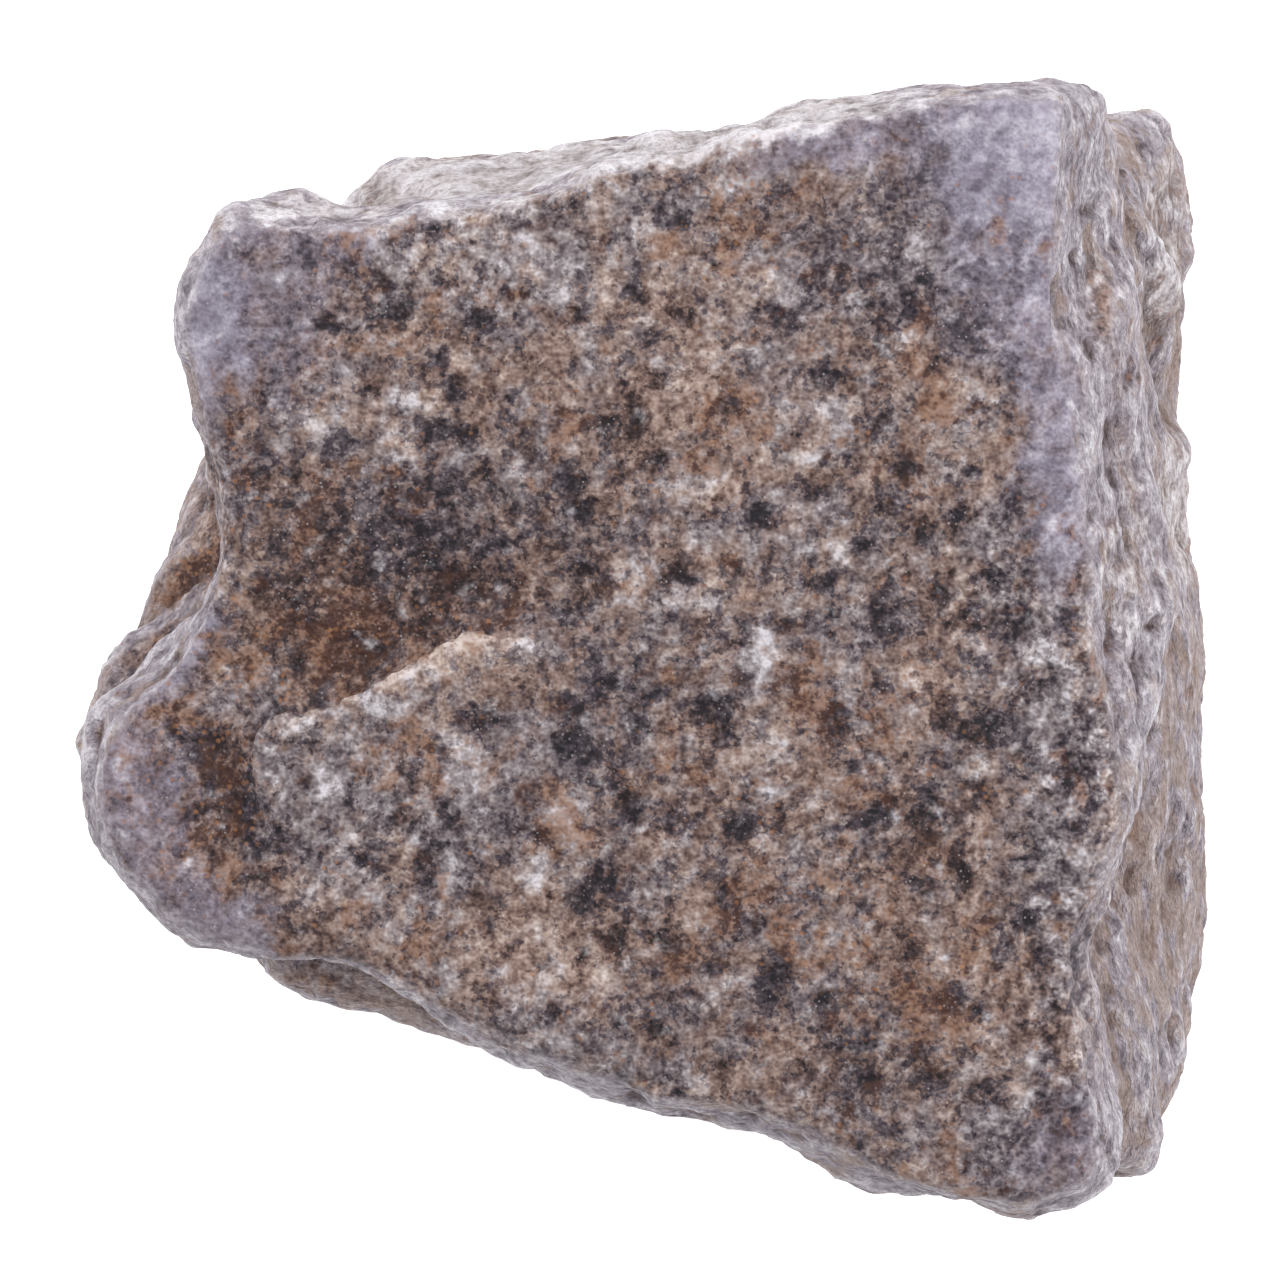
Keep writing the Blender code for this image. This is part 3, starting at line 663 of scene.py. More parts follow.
class Nodes:
    """A short way to write the shader nodes of one material."""

    def __init__(self, material: bpy.types.Material) -> None:
        """Start from the material's node tree.

        Args:
            material: The material to build in.
        """
        self.tree = material.node_tree
        coordinates = self.tree.nodes.new("ShaderNodeTexCoord")
        self.place = self.vector("SCALE", coordinates.outputs["Object"], 1.0 / MM)

    def feed(self, socket: bpy.types.NodeSocket, value: object) -> None:
        """Link a socket to another one, or set it to a number or colour.

        Args:
            socket: The socket to feed.
            value: The socket to link from, or the number or colour.
        """
        if isinstance(value, bpy.types.NodeSocket):
            self.tree.links.new(value, socket)
        else:
            socket.default_value = value

    def attribute(self, name: str) -> bpy.types.NodeSocket:
        """Read a number that the mesh holds at its corners.

        Args:
            name: The attribute's name.

        Returns:
            Its value.
        """
        node = self.tree.nodes.new("ShaderNodeAttribute")
        node.attribute_name = name
        return node.outputs["Fac"]

    def noise(
        self, pattern: Pattern, place: bpy.types.NodeSocket | None = None
    ) -> bpy.types.NodeSocket:
        """Add a noise that swings about zero.

        Args:
            pattern: The noise's recipe.
            place: The coordinates to read it at, or None for the stone's own.

        Returns:
            The noise's value.
        """
        node = self.tree.nodes.new("ShaderNodeTexNoise")
        node.normalize = False
        node.inputs["Scale"].default_value = 1.0 / pattern.width
        node.inputs["Detail"].default_value = pattern.detail
        node.inputs["Roughness"].default_value = pattern.roughness
        shift = (pattern.shift, 0.6 * pattern.shift, -0.8 * pattern.shift)
        self.feed(node.inputs["Vector"], self.vector("ADD", place or self.place, shift))
        return node.outputs["Fac"]

    def specks(self, width: float, size: float, shift: float = 0.0) -> bpy.types.NodeSocket:
        """Scatter round specks.

        Args:
            width: How far apart they lie.
            size: How far each one's soft edge lies from its middle, in widths.
            shift: Moves them along, so that two scatterings differ.

        Returns:
            The share of speck, 0 to 1.
        """
        node = self.tree.nodes.new("ShaderNodeTexVoronoi")
        node.inputs["Scale"].default_value = 1.0 / width
        self.feed(node.inputs["Vector"], self.vector("ADD", self.place, (shift, shift, shift)))
        shown = self.rise(node.outputs["Color"], 0.3, 0.7)
        return self.math("MULTIPLY", shown, self.rise(node.outputs["Distance"], size, 0.4 * size))

    def chips(self, width: float, place: bpy.types.NodeSocket) -> bpy.types.NodeSocket:
        """Read how far a place lies from the middle of the chip that it is on, in widths of a chip.

        Args:
            width: The width of a chip.
            place: The coordinates to read it at.

        Returns:
            The distance.
        """
        node = self.tree.nodes.new("ShaderNodeTexVoronoi")
        node.inputs["Scale"].default_value = 1.0 / width
        self.feed(node.inputs["Vector"], place)
        return node.outputs["Distance"]

    def bent(self, place: bpy.types.NodeSocket, width: float, reach: float) -> bpy.types.NodeSocket:
        """Bend coordinates by a smooth noise, so that what is read there looks grown.

        Args:
            place: The coordinates.
            width: The width of the bends.
            reach: How far they move a point.

        Returns:
            The bent coordinates.
        """
        node = self.tree.nodes.new("ShaderNodeTexNoise")
        node.inputs["Scale"].default_value = 1.0 / width
        node.inputs["Detail"].default_value = 0.0
        self.feed(node.inputs["Vector"], place)
        centred = self.vector("SUBTRACT", node.outputs["Color"], (0.5, 0.5, 0.5))
        return self.vector("ADD", place, self.vector("SCALE", centred, 2.0 * reach))

    def stretched(self, place: bpy.types.NodeSocket, turn: float, ratio: float) -> bpy.types.NodeSocket:
        """Draw out what is read at coordinates.

        Args:
            place: The coordinates.
            turn: The way that it is drawn out, in degrees from X.
            ratio: How many times longer it gets.

        Returns:
            The coordinates to read it at.
        """
        node = self.tree.nodes.new("ShaderNodeMapping")
        node.vector_type = "TEXTURE"
        node.inputs["Rotation"].default_value = (0.0, 0.0, math.radians(turn))
        node.inputs["Scale"].default_value = (ratio, 1.0, 1.0)
        self.feed(node.inputs["Vector"], place)
        return node.outputs["Vector"]

    def vector(
        self, operation: str, first: object, second: object, third: object = None
    ) -> bpy.types.NodeSocket:
        """Do one step of vector arithmetic.

        Args:
            operation: Blender's name for the step.
            first: The first vector.
            second: The second vector, or the factor of a scaling.
            third: The third vector, if any.

        Returns:
            The vector that comes out.
        """
        node = self.tree.nodes.new("ShaderNodeVectorMath")
        node.operation = operation
        self.feed(node.inputs[0], first)
        self.feed(node.inputs["Scale"] if operation == "SCALE" else node.inputs[1], second)
        if third is not None:
            self.feed(node.inputs[2], third)
        return node.outputs["Vector"]

    def math(
        self, operation: str, first: object, second: object, third: object = 0.0
    ) -> bpy.types.NodeSocket:
        """Do one step of arithmetic.

        Args:
            operation: Blender's name for the step.
            first: The first number.
            second: The second number.
            third: The third number, where the step has one.

        Returns:
            The number that comes out.
        """
        node = self.tree.nodes.new("ShaderNodeMath")
        node.operation = operation
        for socket, value in zip(node.inputs, (first, second, third)):
            self.feed(socket, value)
        return node.outputs["Value"]

    def total(self, start: float, *terms: tuple[bpy.types.NodeSocket, float]) -> bpy.types.NodeSocket:
        """Add up a start and several values, each times its own weight.

        Args:
            start: The number to start from.
            terms: Each value with its weight.

        Returns:
            The total.
        """
        total = start
        for value, weight in terms:
            total = self.math("MULTIPLY_ADD", value, weight, total)
        return total

    def dot(self, first: object, second: object) -> bpy.types.NodeSocket:
        """Multiply two vectors into one number, their dot product.

        Args:
            first: The first vector.
            second: The second vector.

        Returns:
            The product.
        """
        node = self.tree.nodes.new("ShaderNodeVectorMath")
        node.operation = "DOT_PRODUCT"
        self.feed(node.inputs[0], first)
        self.feed(node.inputs[1], second)
        return node.outputs["Value"]

    def rise(self, value: object, low: float, high: float) -> bpy.types.NodeSocket:
        """Rise smoothly from 0 where the value is low to 1 where it is high.

        Args:
            value: What to read.
            low: Where the rise starts.
            high: Where it ends; it may be below low, for a fall.

        Returns:
            The smooth share.
        """
        node = self.tree.nodes.new("ShaderNodeMapRange")
        node.interpolation_type = "SMOOTHSTEP"
        self.feed(node.inputs["Value"], value)
        node.inputs["From Min"].default_value = low
        node.inputs["From Max"].default_value = high
        return node.outputs["Result"]

    def between(self, share: object, first: object, second: object) -> bpy.types.NodeSocket:
        """Go from one number to another by a share from 0 to 1.

        Args:
            share: How far to go.
            first: The number at 0.
            second: The number at 1.

        Returns:
            The number in between.
        """
        node = self.tree.nodes.new("ShaderNodeMix")
        node.data_type = "FLOAT"
        self.feed(node.inputs[0], share)
        self.feed(node.inputs[2], first)
        self.feed(node.inputs[3], second)
        return node.outputs[0]

    def mix(self, share: object, first: object, second: object) -> bpy.types.NodeSocket:
        """Mix two colours.

        Args:
            share: How much of the second one to take.
            first: The colour at 0.
            second: The colour at 1.

        Returns:
            The mixed colour.
        """
        node = self.tree.nodes.new("ShaderNodeMix")
        node.data_type = "RGBA"
        self.feed(node.inputs[0], share)
        self.feed(node.inputs[6], first)
        self.feed(node.inputs[7], second)
        return node.outputs[2]

    def ramp(self, value: object, stops: Colours) -> bpy.types.NodeSocket:
        """Read a run of colours.

        Args:
            value: Where to read it, 0 to 1.
            stops: Each place on the run with its colour on the 0 to 255 scale.

        Returns:
            The colour.
        """
        node = self.tree.nodes.new("ShaderNodeValToRGB")
        bar = node.color_ramp
        while len(bar.elements) < len(stops):
            bar.elements.new(1.0)
        for element, (place, colour) in zip(bar.elements, stops):
            element.position = place
            element.color = srgb(*colour)
        self.feed(node.inputs["Fac"], value)
        return node.outputs["Color"]


@dataclass(frozen=True)
class StoneFinish:
    """The stone's colours and patterns: mottled grains, iron stain, pale specks that are partly painted
    glints, smooth margins, and flanks and crust made paler partly by painted light.
    """

    warm: Colours = (
        (0.05, (36, 26, 27)), (0.24, (71, 54, 51)), (0.36, (97, 76, 71)), (0.48, (121, 99, 91)),
        (0.60, (143, 121, 112)), (0.72, (164, 143, 133)), (0.95, (208, 192, 184)),
    )
    cool: Colours = (
        (0.05, (33, 29, 35)), (0.24, (63, 54, 61)), (0.36, (86, 77, 82)), (0.48, (109, 99, 103)),
        (0.60, (131, 122, 125)), (0.72, (154, 146, 149)), (0.95, (206, 200, 206)),
    )
    margin: Colours = (
        (0.20, (80, 71, 82)), (0.45, (120, 113, 128)), (0.62, (147, 141, 157)), (0.85, (184, 179, 194)),
    )
    # The flanks' colours: fresh broken stone, made paler also as painted light from the bright
    # surroundings.
    broken: Colours = (
        (0.10, (70, 62, 67)), (0.32, (112, 103, 110)), (0.50, (146, 137, 146)), (0.68, (172, 164, 173)),
        (0.92, (213, 207, 213)),
    )
    # The crust's colours: pale stone and painted glare.
    bleach_and_glare: Colours = (
        (0.15, (126, 116, 115)), (0.45, (180, 171, 171)), (0.65, (210, 203, 207)), (0.90, (231, 227, 232)),
    )
    rust: tuple[int, int, int] = (134, 98, 76)
    deep_rust: tuple[int, int, int] = (74, 46, 36)
    rust_grain: tuple[int, int, int] = (158, 108, 72)
    # Colour of the specks: pale grains and painted glints.
    speck_and_glint_white: tuple[int, int, int] = (206, 199, 203)
    ochre: tuple[int, int, int] = (158, 134, 117)

    patches: Pattern = Pattern(6.0, 1.0, 0.7, 3.0)
    spread: Pattern = Pattern(1.3, 1.0, 0.8, 8.0)
    grains: Pattern = Pattern(0.36, 1.0, 0.85, 14.0)
    flecks: Pattern = Pattern(0.8, 1.0, 0.8, 44.0)
    clots: Pattern = Pattern(1.9, 1.0, 0.75, 27.0)
    ragged: Pattern = Pattern(0.62, 2.0, 0.8, 35.0)
    mottle: Pattern = Pattern(0.9, 2.0, 0.8, 18.0)
    broad_hue: Pattern = Pattern(9.0, 1.0, 0.7, 21.0)
    small_hue: Pattern = Pattern(2.1, 2.0, 0.8, 24.0)
    blotches: Pattern = Pattern(2.4, 2.0, 0.75, 52.0)
    sugar: Pattern = Pattern(1.1, 3.0, 0.75, 58.0)
    ledges: Pattern = Pattern(2.6, 2.0, 0.7, 61.0)
    pitted: Pattern = Pattern(2.6, 1.0, 0.7, 71.0)
    ochre_runs: Pattern = Pattern(4.5, 3.0, 0.8, 63.0)
    stain: Pattern = Pattern(3.0, 3.0, 0.70, 33.0)
    fine_stain: Pattern = Pattern(0.5, 1.0, 0.7, 37.0)
    sprinkled: Pattern = Pattern(1.6, 2.0, 0.8, 91.0)
    specks_and_glints: Pattern = Pattern(1.3, 1.0, 0.7, 47.0)
    fine_specks_and_glints: Pattern = Pattern(0.5, 1.0, 0.7, 49.0)

    drawn_out: tuple[float, float] = (60.0, 1.1)
    layer_squeeze: float = 1.8
    chip_width: float = 2.1
    pit_gap: float = 1.0
    rust_grain_gap: float = 0.40
    speck_gap: float = 0.26
    roughness: float = 0.72
    bump: float = 0.8
    bump_distance: float = 0.06

    def material(self) -> bpy.types.Material:
        """Build the stone's material.

        Returns:
            The material, whose Principled shader has its colour, roughness and bump from nodes.
        """
        material = bpy.data.materials.new(SLOT)
        material.use_nodes = True
        Coat(self, Nodes(material)).dress(material.node_tree.nodes["Principled BSDF"])
        return material


class Coat:
    """The stone's colour and bump in shader nodes, laid one over the other as on the real stone, with
    painted shade in the hollows and painted light on the flanks, the crust and the specks.
    """

    def __init__(self, finish: StoneFinish, nodes: Nodes) -> None:
        """Read the mesh's marks and the patterns that several layers share.

        Args:
            finish: The colours and patterns to use.
            nodes: The material's nodes.
        """
        self.finish = finish
        self.nodes = nodes
        self.marks = {s: nodes.attribute(s.value) for s in Stain if s is not Stain.OVERRUN}
        # hollow_shade darkens the hollows as painted shade and lightens the crests as wear and painted
        # highlight.
        self.flank, self.hollow_shade = nodes.attribute("flank"), nodes.attribute("hollow_shade")
        self.deep, self.low = nodes.attribute("deep"), nodes.attribute("low")
        self.grown = nodes.bent(nodes.stretched(nodes.place, *finish.drawn_out), 3.0, 0.4)
        depth = nodes.dot(nodes.place, LAYERS_FACE)
        squeezed = LAYERS_FACE * finish.layer_squeeze
        self.layered = nodes.vector("MULTIPLY_ADD", depth, squeezed, nodes.place)
        self.patches = nodes.noise(finish.patches, self.grown)
        self.spread = nodes.noise(finish.spread, self.grown)
        self.grains = nodes.noise(finish.grains)
        self.flecks = nodes.noise(finish.flecks, self.grown)
        self.clot = self.clots()
        self.tone = self.face_tone()
        self.sugar = nodes.noise(finish.sugar, self.layered)
        self.ledges = nodes.noise(finish.ledges, self.layered)
        self.chips = nodes.chips(finish.chip_width, nodes.bent(self.layered, 1.2, 0.4))
        pitted = nodes.rise(nodes.noise(finish.pitted), 0.0, 0.4)
        self.pits = nodes.math("MULTIPLY", nodes.specks(finish.pit_gap, 0.34, 5.0), pitted)

    def clots(self) -> bpy.types.NodeSocket:
        """Work out where the ragged, near-black clots lie.

        Returns:
            Their share, 0 to 1.
        """
        nodes, finish, marks = self.nodes, self.finish, self.marks
        clot = nodes.total(
            -0.12, (nodes.noise(finish.clots, self.grown), 0.60), (nodes.noise(finish.ragged), 0.95),
            (self.grains, 0.28), (marks[Stain.DARK], 0.33), (marks[Stain.PALE], -0.25),
        )
        return nodes.rise(clot, 0.13, 0.28)

    def face_tone(self) -> bpy.types.NodeSocket:
        """Work out how light the face's grains are.

        Returns:
            The tone, from 0, the darkest, to 1.
        """
        nodes, marks = self.nodes, self.marks
        mottle = nodes.noise(self.finish.mottle, self.grown)
        mottle = nodes.math("MULTIPLY", marks[Stain.GREY], mottle)
        # The hollow term is painted shade in the face's hollows and a painted highlight on its crests.
        return nodes.total(
            0.51, (mottle, 0.30), (self.patches, 0.10), (self.spread, 0.10), (self.flecks, 0.17),
            (self.grains, 0.23), (self.clot, -0.21), (marks[Stain.DARK], -0.08),
            (marks[Stain.PALE], 0.20), (self.hollow_shade, -0.55),
        )

    def face(self) -> bpy.types.NodeSocket:
        """Colour the split face between its cool and its warm grains.

        Returns:
            The colour.
        """
        nodes, finish, marks = self.nodes, self.finish, self.marks
        hue = nodes.total(
            0.72, (nodes.noise(finish.broad_hue, self.grown), 0.45),
            (nodes.noise(finish.small_hue, self.grown), 0.55), (self.clot, -0.35),
            (self.flecks, -0.15), (marks[Stain.GREY], -0.6), (marks[Stain.PALE], -0.22),
        )
        cool, warm = nodes.ramp(self.tone, finish.cool), nodes.ramp(self.tone, finish.warm)
        return nodes.mix(nodes.rise(hue, 0.0, 1.0), cool, warm)

    def margins(self, under: bpy.types.NodeSocket) -> bpy.types.NodeSocket:
        """Lay the smooth, dull margins over a colour.

        Args:
            under: The colour below.

        Returns:
            The colour with the margins on it.
        """
        nodes, margin = self.nodes, self.marks[Stain.MARGIN]
        blotches = nodes.noise(self.finish.blotches, self.grown)
        tone = nodes.total(0.05, (self.tone, 0.45), (blotches, 0.20), (margin, 0.24))
        share = nodes.total(
            0.0, (margin, 1.0), (self.spread, 0.20), (self.patches, 0.15), (self.grains, 0.20),
        )
        share = nodes.math("MULTIPLY", nodes.rise(share, 0.0, 1.15), 0.92)
        return nodes.mix(share, under, nodes.ramp(tone, self.finish.margin))

    def flanks(self, under: bpy.types.NodeSocket) -> bpy.types.NodeSocket:
        """Lay the sugary broken flanks over a colour: paler partly as painted backlight, with ochre runs,
        and with rusty dirt and painted shade in the hollows.

        Args:
            under: The colour below.

        Returns:
            The colour with the flanks on it.
        """
        nodes, finish = self.nodes, self.finish
        # The flank tone falls in the near and the wide hollows and on the lower layers: painted shade.
        tone = nodes.total(
            0.725, (self.sugar, 0.24), (self.chips, -0.28), (self.ledges, 0.10), (self.grains, 0.12),
            (self.pits, -0.24), (self.hollow_shade, -0.7), (self.deep, -0.06), (self.low, -0.02),
        )
        ochre = nodes.noise(finish.ochre_runs, self.layered)
        ochre = nodes.rise(nodes.total(0.0, (ochre, 1.0), (self.low, 0.5), (self.deep, 0.15)), 0.05, 0.85)
        # Rusty dirt and painted shade in the hollows.
        dirt_and_shade = nodes.rise(nodes.total(0.0, (self.hollow_shade, 1.0), (self.sugar, 0.05)), 0.03, 0.25)
        broken = nodes.ramp(tone, finish.broken)
        broken = nodes.mix(nodes.math("MULTIPLY", ochre, 0.55), broken, srgb(*finish.ochre))
        broken = nodes.mix(nodes.math("MULTIPLY", dirt_and_shade, 0.6), broken, srgb(*finish.deep_rust))
        return nodes.mix(nodes.math("MULTIPLY", self.flank, 0.92), under, broken)

    def bleach_and_glare(self, under: bpy.types.NodeSocket) -> bpy.types.NodeSocket:
        """Lay the pale crust of the top slope, pale stone and painted glare, over a colour, darkened in the
        hollows by painted shade.

        Args:
            under: The colour below.

        Returns:
            The colour with the crust on it.
        """
        nodes, mark = self.nodes, self.marks[Stain.BLEACH_AND_GLARE]
        tone = nodes.total(
            0.72, (self.sugar, 0.22), (self.ledges, 0.12), (self.spread, 0.16), (self.grains, 0.14),
            (self.chips, -0.28), (self.pits, -0.20), (self.hollow_shade, -0.6),
        )
        share = nodes.rise(nodes.total(0.0, (mark, 1.0), (self.spread, 0.3), (self.sugar, 0.3)), 0.1, 0.9)
        crust = nodes.ramp(tone, self.finish.bleach_and_glare)
        return nodes.mix(nodes.math("MULTIPLY", share, 0.78), under, crust)

    def rust(self, under: bpy.types.NodeSocket) -> bpy.types.NodeSocket:
        """Lay the iron stain and its loose rusty grains over a colour.

        Args:
            under: The colour below.

        Returns:
            The stained colour.
        """
        nodes, finish, marks = self.nodes, self.finish, self.marks
        stain = nodes.total(
            0.0, (nodes.noise(finish.stain, self.grown), 1.0), (nodes.noise(finish.fine_stain), 0.35),
            (marks[Stain.RUST], 0.42), (self.flank, -0.25), (marks[Stain.MARGIN], -0.22),
            (marks[Stain.BLEACH_AND_GLARE], -0.3),
        )
        share = nodes.math("MULTIPLY", nodes.rise(stain, 0.20, 0.95), 0.70)
        depth = nodes.rise(self.tone, 0.25, 0.65)
        colour = nodes.mix(share, under, nodes.mix(depth, srgb(*finish.deep_rust), srgb(*finish.rust)))
        loose = nodes.total(
            -0.2, (marks[Stain.RUST], 0.8), (nodes.noise(finish.sprinkled), 0.9), (self.flank, -0.4),
        )
        specks = nodes.specks(finish.rust_grain_gap, 0.42, 11.0)
        loose = nodes.math("MULTIPLY", specks, nodes.rise(loose, 0.0, 0.6))
        return nodes.mix(nodes.math("MULTIPLY", loose, 0.5), colour, srgb(*finish.rust_grain))

    def specks_and_glints(self, under: bpy.types.NodeSocket) -> bpy.types.NodeSocket:
        """Lay the fine pale specks, pale grains and painted glints, over a colour.

        Args:
            under: The colour below.

        Returns:
            The colour with the specks on it.
        """
        nodes, finish = self.nodes, self.finish
        share = nodes.total(
            0.0, (nodes.noise(finish.specks_and_glints), 0.8), (nodes.noise(finish.fine_specks_and_glints), 0.5),
            (self.marks[Stain.DARK], 0.22),
        )
        specks = nodes.math("MULTIPLY", nodes.specks(finish.speck_gap, 0.30), nodes.rise(share, 0.1, 0.6))
        return nodes.mix(nodes.math("MULTIPLY", specks, 0.34), under, srgb(*finish.speck_and_glint_white))

    def relief(self) -> bpy.types.NodeSocket:
        """Work out the height of the finest grain, fine on the face and coarse on the flanks.

        Returns:
            The height, for the bump.
        """
        face = self.nodes.total(0.0, (self.grains, 0.8))
        flank = self.nodes.total(
            0.0, (self.sugar, 3.8), (self.chips, -4.8), (self.pits, -2.4), (self.grains, 0.5),
        )
        return self.nodes.between(self.flank, face, flank)

    def dress(self, shader: bpy.types.ShaderNode) -> None:
        """Feed the colour, the roughness and the bump to a Principled shader.

        Args:
            shader: The shader.
        """
        nodes = self.nodes
        colour = self.bleach_and_glare(self.flanks(self.margins(self.face())))
        nodes.feed(shader.inputs["Base Color"], self.specks_and_glints(self.rust(colour)))
        nodes.feed(shader.inputs["Roughness"], nodes.total(self.finish.roughness, (self.grains, -0.2)))
        shader.inputs["Specular IOR Level"].default_value = 0.25
        bump = nodes.tree.nodes.new("ShaderNodeBump")
        bump.inputs["Strength"].default_value = self.finish.bump
        bump.inputs["Distance"].default_value = self.finish.bump_distance * MM
        nodes.feed(bump.inputs["Height"], self.relief())
        nodes.feed(shader.inputs["Normal"], bump.outputs["Normal"])


@dataclass
class RoughRock:
    """The rock: its fine skin, its relief, its marks and its finish."""

    skin: StoneSkin = field(default_factory=StoneSkin)
    relief: Relief = field(default_factory=Relief)
    finish: StoneFinish = field(default_factory=StoneFinish)
    mark_seed: int = 29
    mark_wander: float = 0.6
    margin_wander: float = 1.7
    step_light: float = 0.55
    step_shade: float = 0.5
    step_reach: float = 2.2
    low_seed: int = 31
    low_heights: tuple[float, float] = (27.0, 22.0)
    hollow_rounds: int = 8
    deep_rounds: int = 40

    def build(self) -> bpy.types.Object:
        """Build the rock's visual piece and put it in the place of the plain solid.

        Returns:
            The finished piece.
        """
        mesh = self.skin.mesh(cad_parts[NODE])
        places, facing = self.read(mesh, "co"), self.read(mesh, "normal")
        plan = places / MM + PLAN_SHIFT
        marks = self.stains(plan, facing)
        places += facing * self.relief.heights(plan, facing, marks)[:, None] * MM
        places[:, 2] = np.maximum(places[:, 2], 0.0)
        mesh.vertices.foreach_set("co", places.astype(np.float32).ravel())
        mesh.update()
        for stain, share in marks.items():
            self.keep(mesh, stain.value, share)
        # The depths below the surroundings, near and wide, which the material paints as shade in the
        # hollows.
        hollow_shade, deep = self.hollows(mesh, places / MM, facing)
        self.keep(mesh, "flank", self.flank(plan, facing, marks[Stain.OVERRUN]))
        self.keep(mesh, "hollow_shade", hollow_shade)
        self.keep(mesh, "deep", deep)
        # Lower layers: more ochre on the flanks and a little darker, the darkening being painted shade of
        # the back layers under the overhanging slab.
        uneven = 1.6 * Grain(self.low_seed).at(plan, 5.0)
        self.keep(mesh, "low", smoothstep(*self.low_heights, plan[:, 2] + uneven))
        mesh.polygons.foreach_set("use_smooth", np.ones(len(mesh.polygons), dtype=bool))
        mesh.materials.clear()
        mesh.materials.append(self.finish.material())
        piece = bpy.data.objects.new("rough_rock", mesh)
        bpy.context.scene.collection.objects.link(piece)
        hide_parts(NODE)
        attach(piece, BODY)
        return piece

    def flank(self, plan: np.ndarray, facing: np.ndarray, overrun: np.ndarray) -> np.ndarray:
        """Work out how far each point has the look of the broken flanks.

        Args:
            plan: Rows of plan X, Y and Z.
            facing: The normals there.
            overrun: How far the face's colours run over the rim there.

        Returns:
            The share of flank, 0 to 1, which the wall of the step across the face has none of.
        """
        gap, _ = FACE_STEP.gap(plan)
        at_step = np.exp(-((gap / self.step_reach) ** 2)) * smoothstep(0.2, 0.6, facing[:, 2])
        own = (1.0 - at_step) * (1.0 - np.minimum(overrun, 1.0))
        return smoothstep(0.92, 0.60, np.abs(facing @ LAYERS_FACE)) * own

    def stains(self, plan: np.ndarray, facing: np.ndarray) -> dict[Stain, np.ndarray]:
        """Work out each stain's share at every point, with edges that wander, and add the step's painted
        highlight and painted shade.

        Args:
            plan: Rows of plan X, Y and Z.
            facing: The normals there.

        Returns:
            The share of each stain at each point, 0 to 1, or more where a mark is strong.
        """
        grain = Grain(self.mark_seed)
        across, down = (grain.octaves(plan, 2.4, 3, 0.7, shift) for shift in (0.0, 13.0))
        wander = np.column_stack([across, down, np.zeros(len(plan))])
        seen = smoothstep(0.0, 0.35, facing[:, 2])
        # The crust and its painted glare show on faces that are not turned down.
        crust_and_glare_facing = smoothstep(-0.35, 0.45, facing[:, 2])
        shares = {}
        for stain in Stain:
            bent = plan + (self.margin_wander if stain is Stain.MARGIN else self.mark_wander) * wander
            total = np.zeros(len(plan))
            for mark in MARKS:
                if mark.stain is stain:
                    total = np.maximum(total, mark.share(bent))
            shares[stain] = total * (crust_and_glare_facing if stain is Stain.BLEACH_AND_GLARE else seen)
        # Along the step across the face: a painted highlight on the lip, added to the pale share, and
        # painted shade at the sunken foot, added to the dark share.
        gap, along = FACE_STEP.gap(plan + self.mark_wander * wander)
        edge = seen * smoothstep(0.0, 0.14, along) * smoothstep(1.0, 0.80, along)
        lit = smoothstep(0.28, 0.48, along) * np.where(gap < 0.0, np.exp(gap / 0.5), np.exp(-gap / 0.12))
        shares[Stain.PALE] += self.step_light * edge * lit
        shares[Stain.DARK] += self.step_shade * edge * np.where(gap > 0.0, np.exp(-gap / 1.1), 0.0)
        return shares

    def hollows(
        self, mesh: bpy.types.Mesh, places: np.ndarray, facing: np.ndarray
    ) -> tuple[np.ndarray, np.ndarray]:
        """Measure how far each point lies below the surface around it.

        Args:
            mesh: The mesh, whose edges say which points lie side by side.
            places: The points, in millimetres.
            facing: The normals there.

        Returns:
            The depth below the near and the wider surroundings: above zero in a dip, below zero on a crest.
            The material paints the dips darker with it, as painted shade.
        """
        edges = np.empty(len(mesh.edges) * 2, dtype=np.int64)
        mesh.edges.foreach_get("vertices", edges)
        here, there = edges[0::2], edges[1::2]
        both, other = np.concatenate([here, there]), np.concatenate([there, here])
        size = len(places)
        count = np.maximum(np.bincount(both, minlength=size).astype(float), 1.0)
        around = near = places
        for done in range(1, self.deep_rounds + 1):
            sums = [np.bincount(both, around[other, axis], minlength=size) for axis in range(3)]
            around = np.column_stack(sums) / count[:, None]
            if done == self.hollow_rounds:
                near = around
        below_near = np.einsum("ij,ij->i", near - places, facing)
        below_wide = np.einsum("ij,ij->i", around - places, facing)
        return below_near, below_wide

    @staticmethod
    def read(mesh: bpy.types.Mesh, name: str) -> np.ndarray:
        """Read one vector for each corner of the mesh, such as its place or its normal.

        Args:
            mesh: The mesh.
            name: Blender's name for what is read.

        Returns:
            Rows of X, Y and Z.
        """
        values = np.empty(len(mesh.vertices) * 3, dtype=np.float32)
        mesh.vertices.foreach_get(name, values)
        return values.reshape(-1, 3).astype(float)

    @staticmethod
    def keep(mesh: bpy.types.Mesh, name: str, values: np.ndarray) -> None:
        """Store one number for each corner of the mesh, for the material to read."""
        attribute = mesh.attributes.new(name, "FLOAT", "POINT")
        attribute.data.foreach_set("value", values.astype(np.float32))


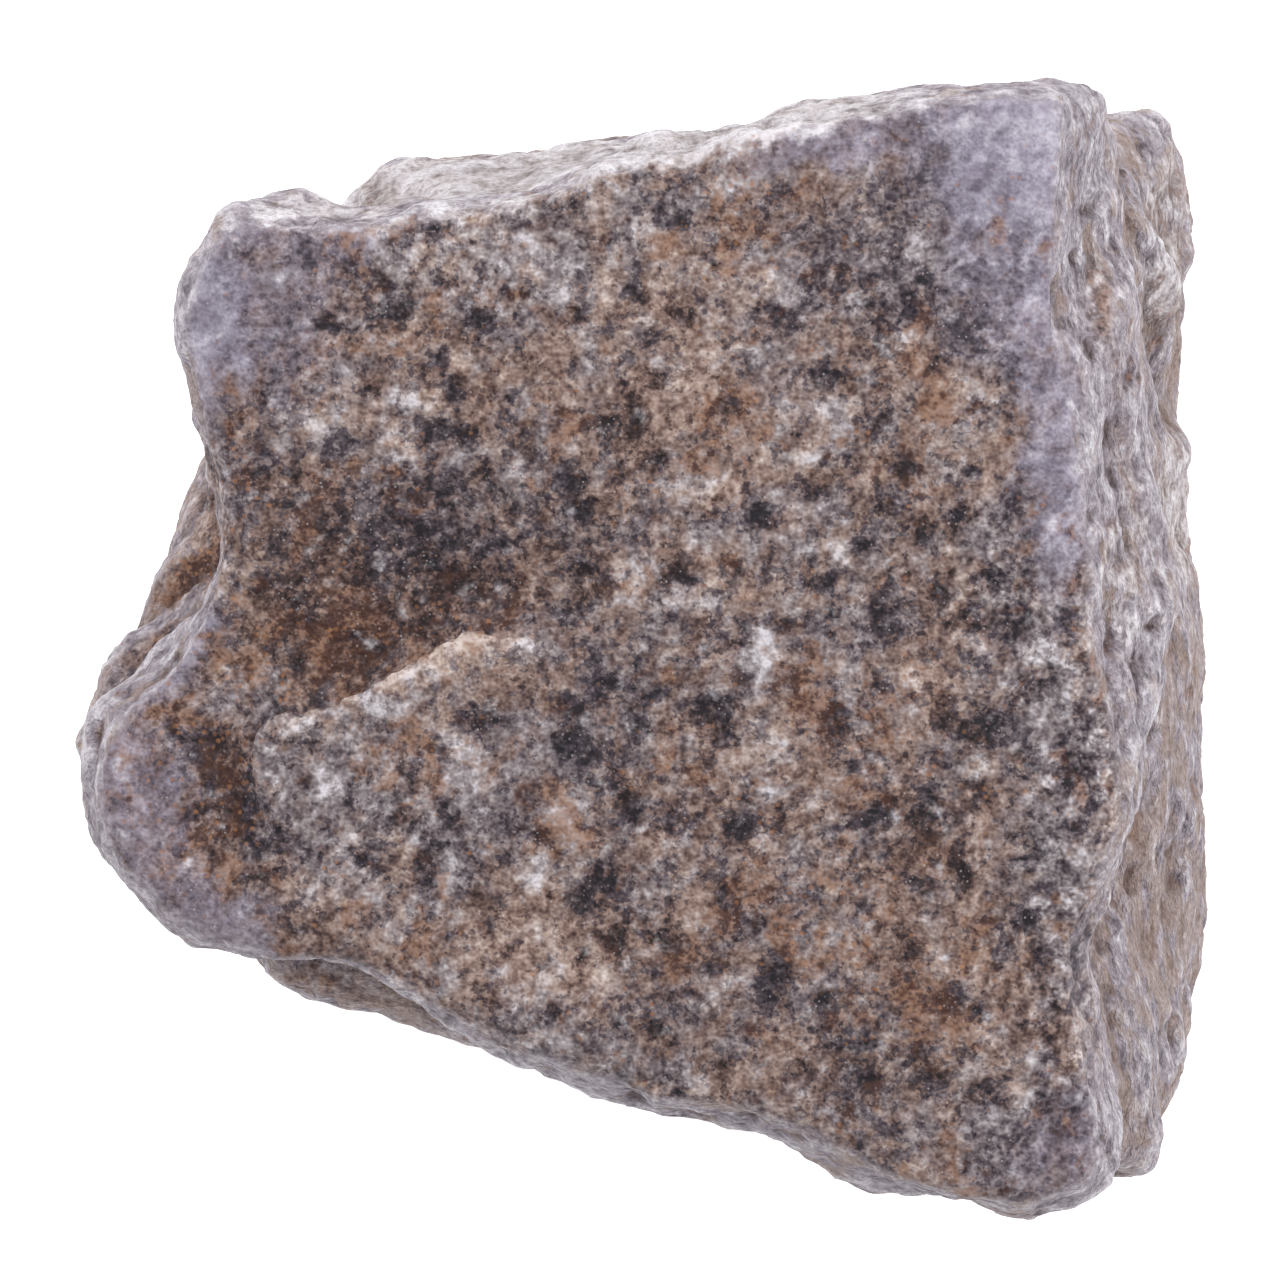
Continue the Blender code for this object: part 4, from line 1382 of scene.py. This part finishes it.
@dataclass
class Studio:
    """The plain floor, the soft light all round and the camera that looks straight down."""

    floor_size: float = 2400.0
    floor_colour: tuple[float, float, float, float] = (0.93, 0.93, 0.935, 1.0)
    floor_glow: float = 0.70
    sky_strength: float = 0.64
    key_power: float = 1.0
    fill_power: float = 0.5

    def build(self) -> None:
        """Set up the floor, the lights and the camera."""
        self.floor()
        self.sky()
        self.area("key", (-170.0, 210.0, 330.0), 180.0, self.key_power)
        self.area("fill", (260.0, 40.0, 180.0), 200.0, self.fill_power)
        self.camera()

    def floor(self) -> None:
        """Lay the pale floor under the rock."""
        half = self.floor_size * MM / 2.0
        mesh = bpy.data.meshes.new("floor")
        corners = [(-half, -half, 0), (half, -half, 0), (half, half, 0), (-half, half, 0)]
        mesh.from_pydata(corners, [], [(0, 1, 2, 3)])
        material = bpy.data.materials.new("floor")
        material.use_nodes = True
        shader = material.node_tree.nodes["Principled BSDF"]
        shader.inputs["Base Color"].default_value = self.floor_colour
        shader.inputs["Roughness"].default_value = 0.9
        shader.inputs["Emission Color"].default_value = (1.0, 1.0, 1.0, 1.0)
        shader.inputs["Emission Strength"].default_value = self.floor_glow
        mesh.materials.append(material)
        floor = bpy.data.objects.new("floor", mesh)
        bpy.context.scene.collection.objects.link(floor)

    def sky(self) -> None:
        """Light the scene evenly from all round."""
        world = bpy.data.worlds.new("studio")
        world.use_nodes = True
        background = world.node_tree.nodes["Background"]
        background.inputs["Color"].default_value = (1.0, 1.0, 1.0, 1.0)
        background.inputs["Strength"].default_value = self.sky_strength
        bpy.context.scene.world = world

    @staticmethod
    def area(name: str, place: tuple[float, float, float], size: float, power: float) -> None:
        """Hang a soft square light that faces the rock.

        Args:
            name: The light's name.
            place: Where it hangs.
            size: The length of its side.
            power: Its power in watts.
        """
        light = bpy.data.lights.new(name, "AREA")
        light.size = size * MM
        light.energy = power
        lamp = bpy.data.objects.new(name, light)
        lamp.location = Vector(place) * MM
        lamp.rotation_euler = (Vector((0.0, 0.0, 0.02)) - lamp.location).to_track_quat("-Z", "Y").to_euler()
        bpy.context.scene.collection.objects.link(lamp)

    @staticmethod
    def camera() -> None:
        """Set the camera over the rock, looking straight down with the picture's top along +Y."""
        data = bpy.data.cameras.new("camera")
        data.sensor_width = VIEW.sensor
        data.lens = VIEW.lens()
        data.clip_start = 0.01
        camera = bpy.data.objects.new("camera", data)
        height = VIEW.sharp_height + VIEW.distance
        camera.location = Vector((-PLAN_SHIFT[0], -PLAN_SHIFT[1], height - PLAN_SHIFT[2])) * MM
        bpy.context.scene.collection.objects.link(camera)
        bpy.context.scene.camera = camera


def main() -> None:
    """Dress the rock, set up the studio and report each piece."""
    logging.basicConfig(level=logging.INFO, format="%(name)s: %(message)s")
    bpy.context.scene.view_settings.view_transform = "Standard"
    rock = RoughRock().build()
    LOG.info("%s: %d faces", rock.name, len(rock.data.polygons))
    Studio().build()
    LOG.info("studio: floor, sky, key and fill lights, camera with a %.1f mm lens", VIEW.lens())


if __name__ == "__main__":
    main()
